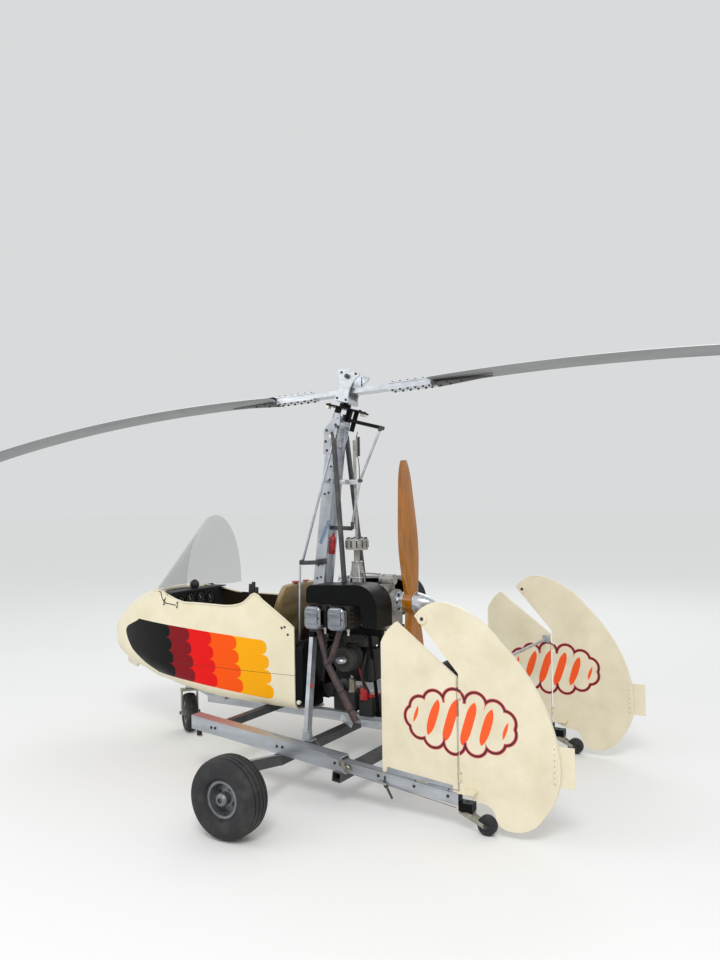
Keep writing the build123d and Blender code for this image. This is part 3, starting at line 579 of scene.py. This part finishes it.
for way, side in ((-1, "right"), (1, "left")):
    spot = nosePlace + noseAxle * way * noseTyre["nutOut"]
    end = spot + noseAxle * way * noseTyre["nutLong"]
    finishPiece("nose_nut_" + side, [makeRod(spot, end, 13, 1, 6)], "boltSteel", "nose_steer")
print("wheels made")

# Pod trim
podTrim = {"coamingRadius": 6, "sealRadius": 3, "lipRadius": 13, "boltRadius": 6, "openX": 1165,
           "openLong": 442.244, "openWide": 265.144, "lipIn": 26, "lipDown": 4, "edgeIn": 5, "edgeRise": 3,
           "edge": ((262, 829), (330, 876), (400, 924), (470, 971), (530, 1010), (552, 1006), (580, 984),
                    (628, 951), (680, 936), (740, 928), (860, 929), (1000, 931), (1120, 932)),
           "seal": ((1612, 0), (1604, 40), (1590, 78), (1560, 122), (1520, 156), (1480, 186), (1440, 208),
                    (1400, 228), (1368, 246), (1340, 268)),
           "sealSide": ((1293, 917), (1236, 909), (1185, 904)), "sealRise": 1.5,
           "clips": ((1298, 291, 913), (1175, 301, 901)), "clipLean": (0.25, 0.3), "clipOut": 3,
           "bolts": ((340, 813), (318, 819), (297, 775)),
           # back, length, height and rise of the chin bracket's lower and upper edge, in metres
           "chinLow": (1.838, 0.082, 0.398, 0.027), "chinHigh": (1.79, 0.135, 0.47, 0.05), "chinHalf": 13}


def podSide(x, z, way):  # point on the pod's outer side at that station and height
    return firstHit((x, way * 700, z), (0, -way, 0), ("pod_upper", "pod_lower"))


def podTop(x, y):
    return firstHit((x, y, 1600), (0, 0, -1), ("pod_upper",))


def sideEdge(way):
    found = [podSide(x, z - podTrim["edgeIn"], way) for x, z in podTrim["edge"]]
    return [spot + Vector((0, 0, podTrim["edgeRise"])) for spot in found if spot]


turns = [radians(10 * step) for step in range(-8, 9)]
found = [podTop(podTrim["openX"] + podTrim["openLong"] * cos(turn), podTrim["openWide"] * sin(turn))
         for turn in turns]
frontEdge = [spot for spot in found if spot]
lip = [spot - Vector((podTrim["lipIn"] * cos(turn), podTrim["lipIn"] * sin(turn), podTrim["lipDown"]))
       for turn, spot in zip(turns, frontEdge)]
coaming = sideEdge(-1) + frontEdge + list(reversed(sideEdge(1)))
finishPiece("coaming", [makeHose(coaming, podTrim["coamingRadius"], 6)], "creamPaint")
finishPiece("opening_lip", [makeHose(lip, podTrim["lipRadius"], 8)], "creamPaint")
sealHalf = [podTop(x, y) for x, y in podTrim["seal"]] + [podSide(x, z, 1) for x, z in podTrim["sealSide"]]
sealHalf = [spot + Vector((0, 0, podTrim["sealRise"])) for spot in sealHalf if spot]
mirrored = [Vector((spot.x, -spot.y, spot.z)) for spot in sealHalf]
seal = makeHose(list(reversed(mirrored)) + sealHalf[1:], podTrim["sealRadius"], 6)
finishPiece("screen_seal", [seal], "blackRubber")
clips, shellBolts = [], []
for way in (-1, 1):
    ahead, up = podTrim["clipLean"]
    out = Vector((ahead, way, up)).normalized()
    for x, y, z in podTrim["clips"]:
        base = Vector((x, way * y, z)) + out * podTrim["clipOut"]
        screw = base + Vector((-6, 0, 20))
        clips += [makeBar(base - Vector((0, 0, 12)), base + Vector((-10, -way * 8, 36)), 12, 4),
                  makeRod(screw - out * 8, screw + out * 6, 4, 1, 12),
                  makeBall(base - out * 2 - Vector((0, 0, 8)), 6)]
    spots = [podSide(x, z, way) for x, z in podTrim["bolts"]]
    shellBolts.append(makeBolts(spots, (0, way, 0), podTrim["boltRadius"], 3))
finishPiece("screen_clips", clips, "boltSteel")
finishPiece("shell_bolts", shellBolts, "boltSteel")
chin = makeBlock((0, -podTrim["chinHalf"], 0), (1000, podTrim["chinHalf"], 1000), 20)
for vertex in chin.data.vertices:
    ahead, up = vertex.co.x, vertex.co.z
    edges = zip(podTrim["chinLow"], podTrim["chinHigh"])
    back, length, height, rise = [(1 - up) * low + up * high for low, high in edges]
    vertex.co.x = back + length * ahead
    vertex.co.z = height + rise * ahead
finishPiece("chin_bracket", [chin], "paleEnamel")
print("pod trim made")

# Cockpit
# each cushion: start, end, width, thickness and sewn channels
seatShape = {"back": ((640, 0, 470), (401, 0, 1053), 392, 66, 5),
             "base": ((640, 0, 425), (1022, 0, 453), 400, 74, 4),
             "cuts": 30, "square": 4, "rim": 0.5, "seamDeep": 0.2, "seamFrom": 0.15, "endPower": 10,
             "narrow": (0.035, 0.08), "short": (0.02, 0.03)}


def makeCushion(start, end, width, thick, channels):  # crowned form with sewn channels across it
    deselect()
    bpy.ops.mesh.primitive_cube_add(size=1)
    obj = bpy.context.object
    bpy.ops.object.mode_set(mode="EDIT")
    bpy.ops.mesh.select_all(action="SELECT")
    bpy.ops.mesh.subdivide(number_cuts=seatShape["cuts"])
    bpy.ops.object.mode_set(mode="OBJECT")
    middle, turn, length = aimed(start, end)
    square, last = seatShape["square"], seatShape["endPower"]
    for vertex in obj.data.vertices:
        x, y, z = (2 * c for c in vertex.co)  # each from -1 to 1
        edge = ((1 - abs(x) ** square) * (1 - abs(z) ** square)) ** 0.5
        puff = seatShape["rim"] + (1 - seatShape["rim"]) * edge
        sewn = abs(sin((z + 1) / 2 * pi * channels)) ** 0.5
        if edge > seatShape["seamFrom"]:
            puff *= 1 - seatShape["seamDeep"] * (1 - sewn)
        narrow = 1 - seatShape["narrow"][0] * abs(y) ** square - seatShape["narrow"][1] * abs(z) ** last
        short = 1 - seatShape["short"][0] * abs(y) ** square - seatShape["short"][1] * abs(x) ** last
        vertex.co = Vector((x * width * narrow * mm, y * thick * puff * mm, z * length * short)) / 2
    obj.location = middle
    obj.rotation_euler = turn
    return applyPlace(obj)


back = finishPiece("seat_back", [makeCushion(*seatShape["back"])], "seatVinyl", smooth=60)
base = finishPiece("seat_base", [makeCushion(*seatShape["base"])], "seatVinyl", smooth=60)
stand = finishPiece("seat_stand", [makeBlock((665, -145, 345), (955, 145, 396), 3)], "blackPaint")
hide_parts("seat")
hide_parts("seat")
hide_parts("seat")
dressFrame((("harness_buckle", "redPaint", (makeBar, (402, 30, 1064), (402, 74, 1064), 34, 12, 3),
             (makeBar, (398, -70, 1064), (398, -30, 1064), 26, 8, 2)),))
dials = {"face": 1279.5, "ticks": 10, "tickFrom": 0.82, "tickTo": 0.95,
         "spots": ((-150, 905, 36), (-50, 915, 40), (55, 915, 40), (155, 905, 36), (-100, 820, 30),
                   (0, 815, 30), (100, 820, 30))}
rings, faces, hands = [], [], []
face = dials["face"]
for y, z, radius in dials["spots"]:
    profile = ((0, radius + 5), (-6, radius + 5), (-7, radius + 2), (-6, radius), (-1, radius - 1),
               (0, radius - 1))
    rings.append(makeLathe(profile, (face, y, z), (1, 0, 0), 40))
    faces.append(makeRod((face, y, z), (face - 1, y, z), radius - 0.5))
    hands.append(makeBar((face - 2, y, z - 6), (face - 2, y + radius * 0.45, z + radius * 0.55), 1.5, 2.5, 0))
    for tick in range(dials["ticks"]):
        angle = tau * tick / dials["ticks"]
        spot, far = [Vector((face - 1.6, y + cos(angle) * radius * share, z + sin(angle) * radius * share))
                     for share in (dials["tickFrom"], dials["tickTo"])]
        hands.append(makeBar(spot, far, 1, 1.6, 0))
finishPiece("dial_rings", rings, "blackPaint")
finishPiece("dial_faces", faces, "panelBlack")
finishPiece("dial_hands", hands, "paleEnamel")
dressFrame((
    ("compass_band", "panelBlack", (makeRing, (1290, 0, 1008), (1, 0, 0), 31, 3.5),
     (makeRod, (1290, 0, 985), (1290, 0, 975), 14, 1)),
    ("stick", "drawnTube", (makeHose, ((1092, 0, 352), (1095, 0, 520), (1075, 0, 700)), 10)),
    ("stick_grip", "blackRubber",
     (makeLathe, ((0, 0), (0, 13), (8, 16), (30, 14), (50, 16), (72, 14), (95, 17), (108, 14), (112, 0)),
      (1076, 0, 690), (-0.1, 0, 1), 32)),
))
levers, grips = [], []
for x, lean, high in ((660, -30, 1058), (625, -18, 1072), (592, -8, 1040)):
    levers.append(makeRod((x, 232, 720), (x + lean, 222, high - 60), 5))
    grips.append(makeRod((x + lean * 0.9, 223, high - 82), (x + lean, 221, high), 12, 4))
levers.append(makeBlock((560, 226, 690), (690, 246, 730), 3))
finishPiece("levers", levers, "boltSteel")
finishPiece("lever_grips", grips, "blackRubber")
pedals = [makeRod((1560, -150, 520), (1560, 150, 520), 9)]
for way in (-1, 1):
    pedals += [makeBar((1560, way * 95, 515), (1538, way * 95, 620), 62, 6, 2),
               makeRod((1560, way * 95, 520), (1595, way * 95, 445), 7)]
finishPiece("pedals", pedals, "boltSteel")
print("cockpit made")

# Mast fittings and control rods
mast = {"cheekY": 62.5,
        "cheeks": ((84, 2035), (150, 2004), (112, 1985), (158, 1936), (112, 1912), (150, 1880)),
        "faceY": 54.6, "heights": (1780, 1700, 1620, 1180, 1100, 620, 520, 420), "footX": 330, "footZ": 278,
        "leanX": 220, "leanZ": 1752, "boltHalf": 14}
bolts = []
for way in (-1, 1):
    spots = [(x, way * mast["cheekY"], z) for x, z in mast["cheeks"]]
    bolts.append(makeBolts(spots, (0, way, 0), 6.5, 6))
    spots = []
    for z in mast["heights"]:
        middle = mast["footX"] - mast["leanX"] * (z - mast["footZ"]) / mast["leanZ"]
        spots += [(middle - mast["boltHalf"], way * mast["faceY"], z),
                  (middle + mast["boltHalf"], way * mast["faceY"], z - 8)]
    bolts.append(makeBolts(spots, (0, way, 0), 5.5, 5))
finishPiece("mast_bolts", bolts, "boltSteel")
dressFrame((
    ("mast_labels", "paleEnamel", (makeBlock, (88, -62.7, 1952), (132, -66, 1976), 1),
     (makeBlock, (88, 62.7, 1952), (132, 66, 1976), 1)),
    ("mast_tape", "blueTape", (makeBar, (214, 54.7, 1307), (146, 54.7, 1452), 1.4, 22, 0)),
    ("red_bottle", "redPaint",
     (makeLathe, ((0, 0), (0, 18), (6, 21), (98, 21), (110, 14), (114, 8), (128, 8), (128, 0)),
      (166, 0, 1240), (-0.12, 0, 1), 36)),
    ("bottle_bands", "boltSteel", (makeRing, (164, 0, 1262), (-0.12, 0, 1), 21.5, 2),
     (makeRing, (158, 0, 1318), (-0.12, 0, 1), 21.5, 2)),
    ("control_rods", "drawnTube", (makeRod, (292, 136, 1200), (66, 74, 2018), 8, 2),
     (makeRod, (302, 150, 1176), (322, 150, 560), 7, 2), (makeRod, (-206, 24, 1992), (-62, 24, 1690), 8, 2),
     (makeRod, (-62, 24, 1690), (-2, 24, 1440), 7, 2)),
    ("rod_ends", "boltSteel", (makeRod, (292, 128, 1200), (292, 158, 1200), 12, 2),
     (makeRod, (66, 66, 2018), (66, 82, 2018), 11, 2), (makeRod, (-62, 12, 1690), (-62, 36, 1690), 12, 2),
     (makeRod, (-206, 14, 1992), (-206, 34, 1992), 11, 2),
     (makeBar, (176, 56, 1199), (176, 148, 1199), 22, 34),
     (makeBar, (170, 150, 1199), (306, 150, 1192), 9, 26, 2),
     (makeRod, (-2, 24, 1440), (-2, 24, 1395), 11, 2), (makeBar, (-2, 24, 1400), (160, 24, 1404), 8, 26, 2)),
    ("rod_guide", "machinedAlloy", (makeBar, (118, 24, 1685), (-66, 24, 1681), 8, 30, 2)),
))
spring = {"x": -54, "y": 30, "top": 1956, "long": 118, "radius": 11, "turns": 14, "points": 8}
coilPoints = [(spring["x"], spring["y"], 1985)]
steps = spring["turns"] * spring["points"]
for step in range(steps + 1):
    arm = Matrix.Rotation(tau * step / spring["points"], 4, "Z") @ Vector((spring["radius"], 0, 0))
    height = spring["top"] - step / steps * spring["long"]
    coilPoints.append((spring["x"] + arm.x, spring["y"] + arm.y, height))
coil = makeHose(coilPoints + [(-54, 30, 1826), (-58, 26, 1692)], 2.6, 2, 2)
finishPiece("trim_spring", [coil], "oxidisedPipe", smooth=80)
print("mast fitted")

# Rotor head and blade roots, drawn level and tilted as the head stands; rootAt is in metres
headShape = {"pivot": (75, 0, 2079), "back": -14.5, "roll": 7.5, "teeterHeight": 250, "teeterDown": 17,
             "barBolts": (285, 335, 385, 435, 485, 525), "rootAt": (0.548, 0, -0.085), "coning": -1.3,
             "rootBolts": ((25, 35), (25, -35), (90, 28), (90, -28))}


def turned(degrees, axis):
    return Matrix.Rotation(radians(degrees), 4, axis)


def tilted(objects, place):
    obj = joinAll(objects)
    obj.matrix_world = place
    return applyPlace(obj)


headPlace = (Matrix.Translation(Vector(headShape["pivot"]) * mm) @ turned(headShape["back"], "Y")
             @ turned(headShape["roll"], "X"))
rotorPlace = (headPlace @ Matrix.Translation((0, 0, headShape["teeterHeight"] * mm))
              @ turned(headShape["teeterDown"], "Y"))
hubBolts = []
for way in (-1, 1):
    hubBolts.append(makeRod((0, way * 66, 250), (0, way * 84, 250), 15, 2, 6))
    spots = [(x, way * 66, z) for x, z in ((-32, 108), (32, 108), (-52, 276), (50, 268))]
    hubBolts.append(makeBolts(spots, (0, way, 0), 6, 6))
finishPiece("hub_bolts", [tilted(hubBolts, headPlace)], "boltSteel", "rotor_spin")
plateBolts = [makeBolts([(x, y, 65) for x in (-130, 95) for y in (-30, 30)], (0, 0, 1), 7, 7),
              makeRod((-292, -18, -4), (-292, 18, -4), 9, 2)]
finishPiece("plate_bolts", [tilted(plateBolts, headPlace)], "boltSteel", "head_pitch")
blocks = [makeBlock((-146, -40, 38), (-112, -8, 55), 2), makeBlock((92, 8, 36), (112, 40, 55), 2)]
finishPiece("plate_blocks", [tilted(blocks, headPlace)], "paleEnamel", "head_pitch")
barBolts = []
for way in (-1, 1):
    for face, level, high in ((1, -63, 9), (-1, -107, 7)):
        spots = [(way * x, y, level) for x in headShape["barBolts"] for y in (-22, 22)]
        barBolts.append(makeBolts(spots, (0, 0, face), 6, high))
barBolts.append(makeBolts([(-120, 0, -70), (120, 0, -70)], (0, 0, 1), 8, 9))
finishPiece("bar_bolts", [tilted(barBolts, rotorPlace)], "boltSteel", "rotor_teeter")
for turn, side in ((0, "front"), (180, "rear")):
    rootPlace = (rotorPlace @ turned(turn, "Z") @ Matrix.Translation(headShape["rootAt"])
                 @ turned(headShape["coning"], "Y"))
    root = joinAll([makeBlock((0, -62, low), (360, 62, low + 4)) for low in (14.5, -17.5)])
    for vertex in root.data.vertices:
        if vertex.co.x > 0.3:
            vertex.co.y *= 0.12
    finishPiece("root_plates_" + side, [tilted([bevelEdges(root, 1)], rootPlace)], "darkTube", "rotor_teeter")
    upper = headShape["rootBolts"] + ((170, 15), (170, -15), (260, 0))
    lower = headShape["rootBolts"] + ((170, 0),)
    rootBolts = [makeBolts([(x, y, 18.5) for x, y in upper], (0, 0, 1), 6, 6),
                 makeBolts([(x, y, -17.5) for x, y in lower], (0, 0, -1), 6, 6)]
    finishPiece("root_bolts_" + side, [tilted(rootBolts, rootPlace)], "boltSteel", "rotor_teeter")
print("rotor head fitted")

# Engine fittings
engine = {"cylinders": (62, -96), "plugY": 300, "pipeY": 320, "pipeRun": (-0.52, 0, -0.85), "coverY": 386,
          "clamps": ((1, 627, 3.5), (-90, 478, 3), (-150, 380, 3)), "drum": (-17, 66, 12),
          "legs": (0.7, 2.4, 3.9, 5.5), "shaftZ": 969, "sumpBolts": range(-120, 50, 40)}
plugs, leads, flanges, clamps = [], [], [], []
for way in (-1, 1):
    plugY, pipeY = way * engine["plugY"], way * engine["pipeY"]
    for x in engine["cylinders"]:
        plugs += [makeRod((x - 34, plugY, 843), (x - 34, plugY, 822), 9, 1, 6),
                  makeRod((x - 34, plugY, 822), (x - 34, plugY, 800), 6, 1)]
        leads.append(makeHose([(x - 34, plugY, 804), (x - 38, way * 290, 770), (x - 60, way * 230, 760),
                               (x - 70, way * 160, 775), (-60, way * 108, 850)], 4.5))
        flanges.append(makeBlock((x - 27, pipeY - 22, 838), (x + 31, pipeY + 15, 846), 3))
    clamps += [makeRing((x, pipeY, z), engine["pipeRun"], 22, thick) for x, z, thick in engine["clamps"]]
finishPiece("spark_plugs", plugs, "paleEnamel")
finishPiece("plug_leads", leads, "blackRubber")
finishPiece("exhaust_flanges", flanges, "ironBarrel")
finishPiece("exhaust_clamps", clamps, "ironBarrel")
coverBolts = [makeBolts([(x + reach, way * engine["coverY"], 900) for reach in (-44, 44)], (0, way, 0), 5, 4)
              for way in (-1, 1) for x in engine["cylinders"]]
finishPiece("cover_bolts", coverBolts, "boltSteel")
bosses = [makeBlock((x - 40, low, 866), (x + 40, low + 12, 940), 5, 4)
          for x in engine["cylinders"] for low in (-396, 384)]
finishPiece("cover_bosses", bosses, "chromePlate", smooth=50)
dressFrame((
    ("generator_cap", "machinedAlloy", (makeBall, (-40, 236, 640), 36, 0.6)),
    ("generator_bands", "boltSteel", (makeRing, (-40, 120, 640), (0, 1, 0), 70, 3),
     (makeRing, (-40, 190, 640), (0, 1, 0), 70, 3)),
))
spots = [(x, y, 1060) for x in (-236, -190, -120, -60, 0, 28) for y in (-52, 52)]
caseBolts = [makeBolts(spots, (0, 0, 1), 6, 6)]
caseBolts += boltsThrough([(x, 790) for x in engine["sumpBolts"]], 0, 90, 5, 4)
finishPiece("case_bolts", caseBolts, "zincSteel")
ribs = [makeBlock((x, -103, 840), (x + 7, 103, 1013), 2) for x in (-256, -226, -196)]
finishPiece("case_ribs", ribs, "castAlloy")
dressFrame((
    ("carburettor", "machinedAlloy", (makeRod, (78, 0, 1008), (78, 0, 1090), 24, 3),
     (makeRod, (50, 0, 1066), (112, 0, 1066), 30, 4), (makeRod, (78, -34, 1080), (78, 34, 1080), 12, 2),
     (makeBlock, (54, -30, 1090), (104, 30, 1112), 5)),
))
intakes = [makeHose([(66, way * 20, 1040), (50, way * 80, 1052), (24, way * 128, 1040),
                     (10, way * 190, 1020), (0, way * 262, 985), (8, way * 300, 962)], 15)
           for way in (-1, 1)]
finishPiece("intake_pipes", intakes, "castAlloy")
dressFrame((
    ("throttle_rod", "zincSteel", (makeRod, (-190, 20, 1128), (-62, 20, 1131), 5),
     (makeRod, (-62, 14, 1131), (-62, 30, 1131), 9, 1)),
))
legs = [makeRod((-15 + 52 * cos(a), 46 * sin(a), 1062), (-15 + 24 * cos(a), 22 * sin(a), 1196), 5.5)
        for a in engine["legs"]]
legs += [makeRing((-15, 0, 1196), (0, 0, 1), 30, 5), makeRing((-15, 0, 1100), (0, 0, 1), 33, 4)]
finishPiece("gearbox_legs", legs, "machinedAlloy")
spots = [(-18 + 56 * cos(tau * i / 8), 56 * sin(tau * i / 8), 1338) for i in range(8)]
drumTeeth = [makeBolts(spots, (0, 0, 1), 8, 8)]
middle, radius, count = engine["drum"]
for i in range(count):
    x, y = middle + radius * cos(tau * i / count), radius * sin(tau * i / count)
    drumTeeth.append(makeBar((x, y, 1284), (x, y, 1326), 9, 9))
finishPiece("drum_bolts", drumTeeth, "boltSteel")
dressFrame((
    ("starter_bands", "chromePlate", (makeRing, (-296, 42, 1102), (1, 0, 0), 29, 3),
     (makeRing, (-226, 42, 1102), (1, 0, 0), 29, 3)),
    ("engine_hoses", "blackRubber",
     (makeHose, ((-232, -60, 1096), (-150, -100, 1080), (-60, -112, 1000), (20, -125, 870),
                 (60, -150, 780)), 6),
     (makeHose, ((-200, 60, 1084), (-140, 108, 1050), (-30, 110, 1016), (60, 100, 1030), (120, 70, 1010),
                 (180, 60, 900)), 6),
     (makeHose, ((60, 70, 730), (110, 100, 690), (150, 120, 600), (180, 110, 480)), 11),
     (makeHose, ((-40, 160, 712), (20, 190, 760), (80, 170, 770), (130, 120, 720), (190, 100, 660)), 5),
     (makeHose, ((-120, 60, 700), (-130, 110, 640), (-110, 120, 540), (-120, 60, 420)), 9)),
    ("battery", "blackRubber", (makeBlock, (-142, -62, 278.5), (-48, 62, 392), 5),
     (makeBlock, (-34, -84, 300), (120, 84, 430), 14), (makeRod, (40, 40, 430), (40, 40, 452), 24, 4),
     (makeRod, (150, -90, 420), (150, 90, 420), 40, 8), (makeBlock, (-172, -70, 500), (-128, 96, 690), 8),
     (makeBlock, (-116, -56, 470), (34, 16, 702), 16)),
    ("battery_cover", "redPaint", (makeBlock, (-140, -60, 392), (-50, 60, 410), 4),
     (makeBlock, (-120, 62, 380), (-70, 84, 450), 6),
     (makeHose, ((-100, 78, 440), (-90, 96, 520), (-60, 80, 600)), 5)),
    ("fuel_pump", "zincSteel", (makeRod, (-10, 70, 420), (-10, 70, 500), 24, 4),
     (makeRod, (-10, 70, 500), (-10, 70, 520), 12, 2), (makeBlock, (-34, 20, 440), (14, 74, 452), 2),
     (makeRod, (-10, 30, 278), (-10, 30, 446), 8)),
    ("side_plates", "machinedAlloy", (makeBar, (-84, 196, 262), (-4, 196, 300), 5, 40, 1),
     (makeBlock, (-278, 190, 258), (-142, 196, 300), 1),
     (makeBolts, ((-266, 196, 284), (-210, 196, 284), (-154, 196, 284)), (0, 1, 0), 5, 4)),
))
shaftZ = engine["shaftZ"]
sleeve = makeLathe([(0, 30), (0, 58.7), (14.4, 58.7), (14.4, 44.6), (40.2, 44.6), (40.2, 58.7), (56, 58.7),
                    (56, 46)], (-296.7, 0, shaftZ), (-1, 0, 0))
finishPiece("flange_sleeve", [sleeve], "machinedAlloy", "propeller")
finishPiece("spinner_ring", [makeRing((-417.5, 0, shaftZ), (1, 0, 0), 60, 2)], "machinedAlloy", "propeller")
spots = [(-311.3, 50 * cos(tau * i / 6), shaftZ + 50 * sin(tau * i / 6)) for i in range(6)]
finishPiece("flange_bolts", [makeBolts(spots, (-1, 0, 0), 6, 7)], "boltSteel", "propeller")
print("engine fitted")

# Undercarriage and tail fittings; a row of bolts is y, radius and spots, and slopeAt is in metres
tail = {"finY": 707, "finHalf": 11, "stripHalf": 12.4,
        "bolts": ((745, 6, ((22, 262), (58, 262), (-341, 226), (-309, 226), (486, 305), (514, 305))),
                  (734, 6, ((-560, 196), (-760, 176), (-940, 158))),
                  (1170, 7, ((-60, 300), (-96, 300), (-60, 222), (-96, 222)))),
        "pulleys": ((-354, 232), (-383, 208)), "rivets": range(292, 456, 26),
        "finBolts": ((-600, 212), (-760, 200), (-940, 188)), "slope": -5.73, "slopeAt": (-0.78, 0, 0.2)}
slope = (Matrix.Translation(tail["slopeAt"]) @ turned(tail["slope"], "Y")
         @ Matrix.Translation(-Vector(tail["slopeAt"])))
for way, side in ((1, "left"), (-1, "right")):
    fin, half, strip = way * tail["finY"], tail["finHalf"], tail["stripHalf"]
    out = (0, way, 0)
    bolts = [makeBolts([(x, way * y, z) for x, z in spots], out, radius, 6)
             for y, radius, spots in tail["bolts"]]
    finishPiece("frame_bolts_" + side, bolts, "boltSteel")
    wheels = [makeLathe([(0, 4), (0, 17), (3, 14), (7, 14), (10, 17), (10, 4)], (x, way * 746, z), out, 32)
              for x, z in tail["pulleys"]]
    wheels.append(makeBar((-352, way * 750, 240), (-386, way * 750, 200), 18, 3, 1))
    finishPiece("cable_pulleys_" + side, wheels, "zincSteel")
    cables = [makeHose([(120, way * 690, 306), (-354, way * 752, 249), (-700, way * 757, 222),
                        (-1010, way * 764, 205)], 1.8, 4),
              makeHose([(-383, way * 752, 192), (-700, way * 740, 150), (-985, way * 738, 112)], 1.8, 4),
              makeHose([(60, way * 440, 276), (-60, way * 540, 250), (-219, way * 664, 226)], 2.2, 4)]
    finishPiece("rudder_cables_" + side, cables, "steelCable")
    bow = [(-598, way * 676, 188), (-598, way * 676, 150), (-598, fin, 142), (-598, way * 738, 150),
           (-598, way * 738, 200)]
    dressFrame((
        ("turnbuckles_" + side, "zincSteel", (makeRod, (-790, way * 759, 217), (-850, way * 760, 213), 6, 2),
         (makeRod, (-560, way * 748, 171), (-612, way * 746, 164), 5, 1)),
        ("stand_bolt_" + side, "boltSteel", (makeHose, bow, 4),
         (makeRod, (-598, way * 738, 170), (-640, way * 738, 96), 6, 2)),
        ("front_post_" + side, "blackRubber", (makeRod, (636, fin, 281), (636, fin, 238), 15, 2)),
        ("post_foot_" + side, "paleEnamel",
         (makeLathe, ((0, 0), (0, 18), (5, 20), (8, 12), (8, 0)), (636, fin, 231), (0, 0, 1), 28)),
        ("leg_strip_" + side, "drawnTube",
         (makeBar, (24, way * 790, 231), (-66, way * 1150, 313.5), 18, 2.4, 0.5)),
        ("strut_bolts_" + side, "boltSteel",
         (makeBolts, ((57, way * 487, 212), (30, way * 487, 212)), out, 6, 5)),
    ))
    rivets = boltsThrough([(-1462, z) for z in tail["rivets"]], fin, half, 3, 2, 12)
    stripBlock = makeBlock((-1474, fin - strip, 282), (-1450, fin + strip, 456), 1)
    finishPiece("tab_strip_" + side, [stripBlock], "creamPaint", "rudder_" + side)
    finishPiece("tab_rivets_" + side, rivets, "zincSteel", "rudder_" + side)
    discBolts = boltsThrough([(-812, 992)], fin, 17, 7, 5)
    finishPiece("weight_bolts_" + side, discBolts, "boltSteel", "rudder_" + side)
    finishPiece("fin_bolts_" + side, boltsThrough(tail["finBolts"], fin, half, 5, 4), "boltSteel")
    angles = [makeBlock((-960, y - 1.5, 182), (-600, y + 1.5, 226), 0.8) for y in (fin + half, fin - half)]
    finishPiece("fin_angles_" + side, [tilted(angles, slope)], "drawnTube")
    brace = makeBar((-964, way * 688, 690), (-964, way * 694, 690), 44, 44, 2)
    finishPiece("brace_plate_" + side, [brace], "drawnTube")
    casterNuts = boltsThrough([(-1130, 46)], fin, 26, 9, 6)
    finishPiece("caster_nuts_" + side, casterNuts, "boltSteel", "caster_" + side)
    finishPiece("caster_race_" + side, [makeRing((-1030, fin, 94), (0, 0, 1), 22, 3)], "zincSteel")
dressFrame((
    ("strut_mark", "redPaint", (makeRod, (64, 396, 516), (64, 400, 516), 11, 1)),
    ("drain_knob", "paleEnamel", (makeBall, (214, 312, 384), 13),
     (makeRod, (214, 250, 384), (214, 305, 384), 6, 1)),
))
print("undercarriage and tail fitted")

# Camera, lights and floor, in metres
view = {"place": (-2.678, 4.434, 1.6), "forward": (0.5103, -0.8598, 0.0182),
        "right": (-0.8597, -0.5105, -0.0166), "up": (-0.0236, 0.0072, 0.9997), "lens": 31.755, "sensor": 36}
stage = {"floorSize": 120, "floorZ": -0.0005, "floor": "e4e4e2", "floorRoughness": 0.9, "aimZ": 0.8,
         "sky": "f4f6f8", "skyPower": 0.95, "backdrop": "d9dadb",
         "lamps": {"key": ((-3.5, 6.5, 7.0), 3.0, 330), "fill": ((5.0, 5.0, 4.5), 4.5, 60),
                   "back": ((2.0, -7.0, 6.0), 5.0, 90)}}
camera = bpy.data.objects.new("camera", bpy.data.cameras.new("camera"))
bpy.context.collection.objects.link(camera)
camera.data.lens = view["lens"]
camera.data.sensor_width = view["sensor"]
turn = Matrix([view["right"], view["up"], [-c for c in view["forward"]]]).transposed().to_4x4()
camera.matrix_world = Matrix.Translation(view["place"]) @ turn
bpy.context.scene.camera = camera
deselect()
bpy.ops.mesh.primitive_plane_add(size=stage["floorSize"], location=(0, 0, stage["floorZ"]))
floor = bpy.context.object
floor.name = "floor"
floorLook = bpy.data.materials.new("paleFloor")
floorLook.use_nodes = True
floorShader = floorLook.node_tree.nodes["Principled BSDF"]
floorShader.inputs["Base Color"].default_value = hexColour(stage["floor"])
floorShader.inputs["Roughness"].default_value = stage["floorRoughness"]
floor.data.materials.append(floorLook)
world = bpy.data.worlds.new("studio")
bpy.context.scene.world = world
world.use_nodes = True
sky = world.node_tree
sky.nodes.clear()
# the backdrop shows the floor's own far tone, so no horizon line is seen
cameraRay = addNode(sky, "LightPath").outputs["Is Camera Ray"]
light, seen = [addNode(sky, "Background", {"Color": hexColour(colour), "Strength": strength})
               for colour, strength in ((stage["sky"], stage["skyPower"]), (stage["backdrop"], 1.0))]
mixed = addNode(sky, "MixShader", None, {0: cameraRay, 1: light, 2: seen})
addNode(sky, "OutputWorld", None, {0: mixed})
for name, (spot, width, power) in stage["lamps"].items():
    lamp = bpy.data.lights.new(name, "AREA")
    lamp.shape = "DISK"
    lamp.size = width
    lamp.energy = power
    obj = bpy.data.objects.new(name, lamp)
    bpy.context.collection.objects.link(obj)
    obj.location = spot
    obj.rotation_euler = (Vector((0, 0, stage["aimZ"])) - Vector(spot)).to_track_quat("-Z", "Y").to_euler()
bpy.context.scene.view_settings.view_transform = "Standard"
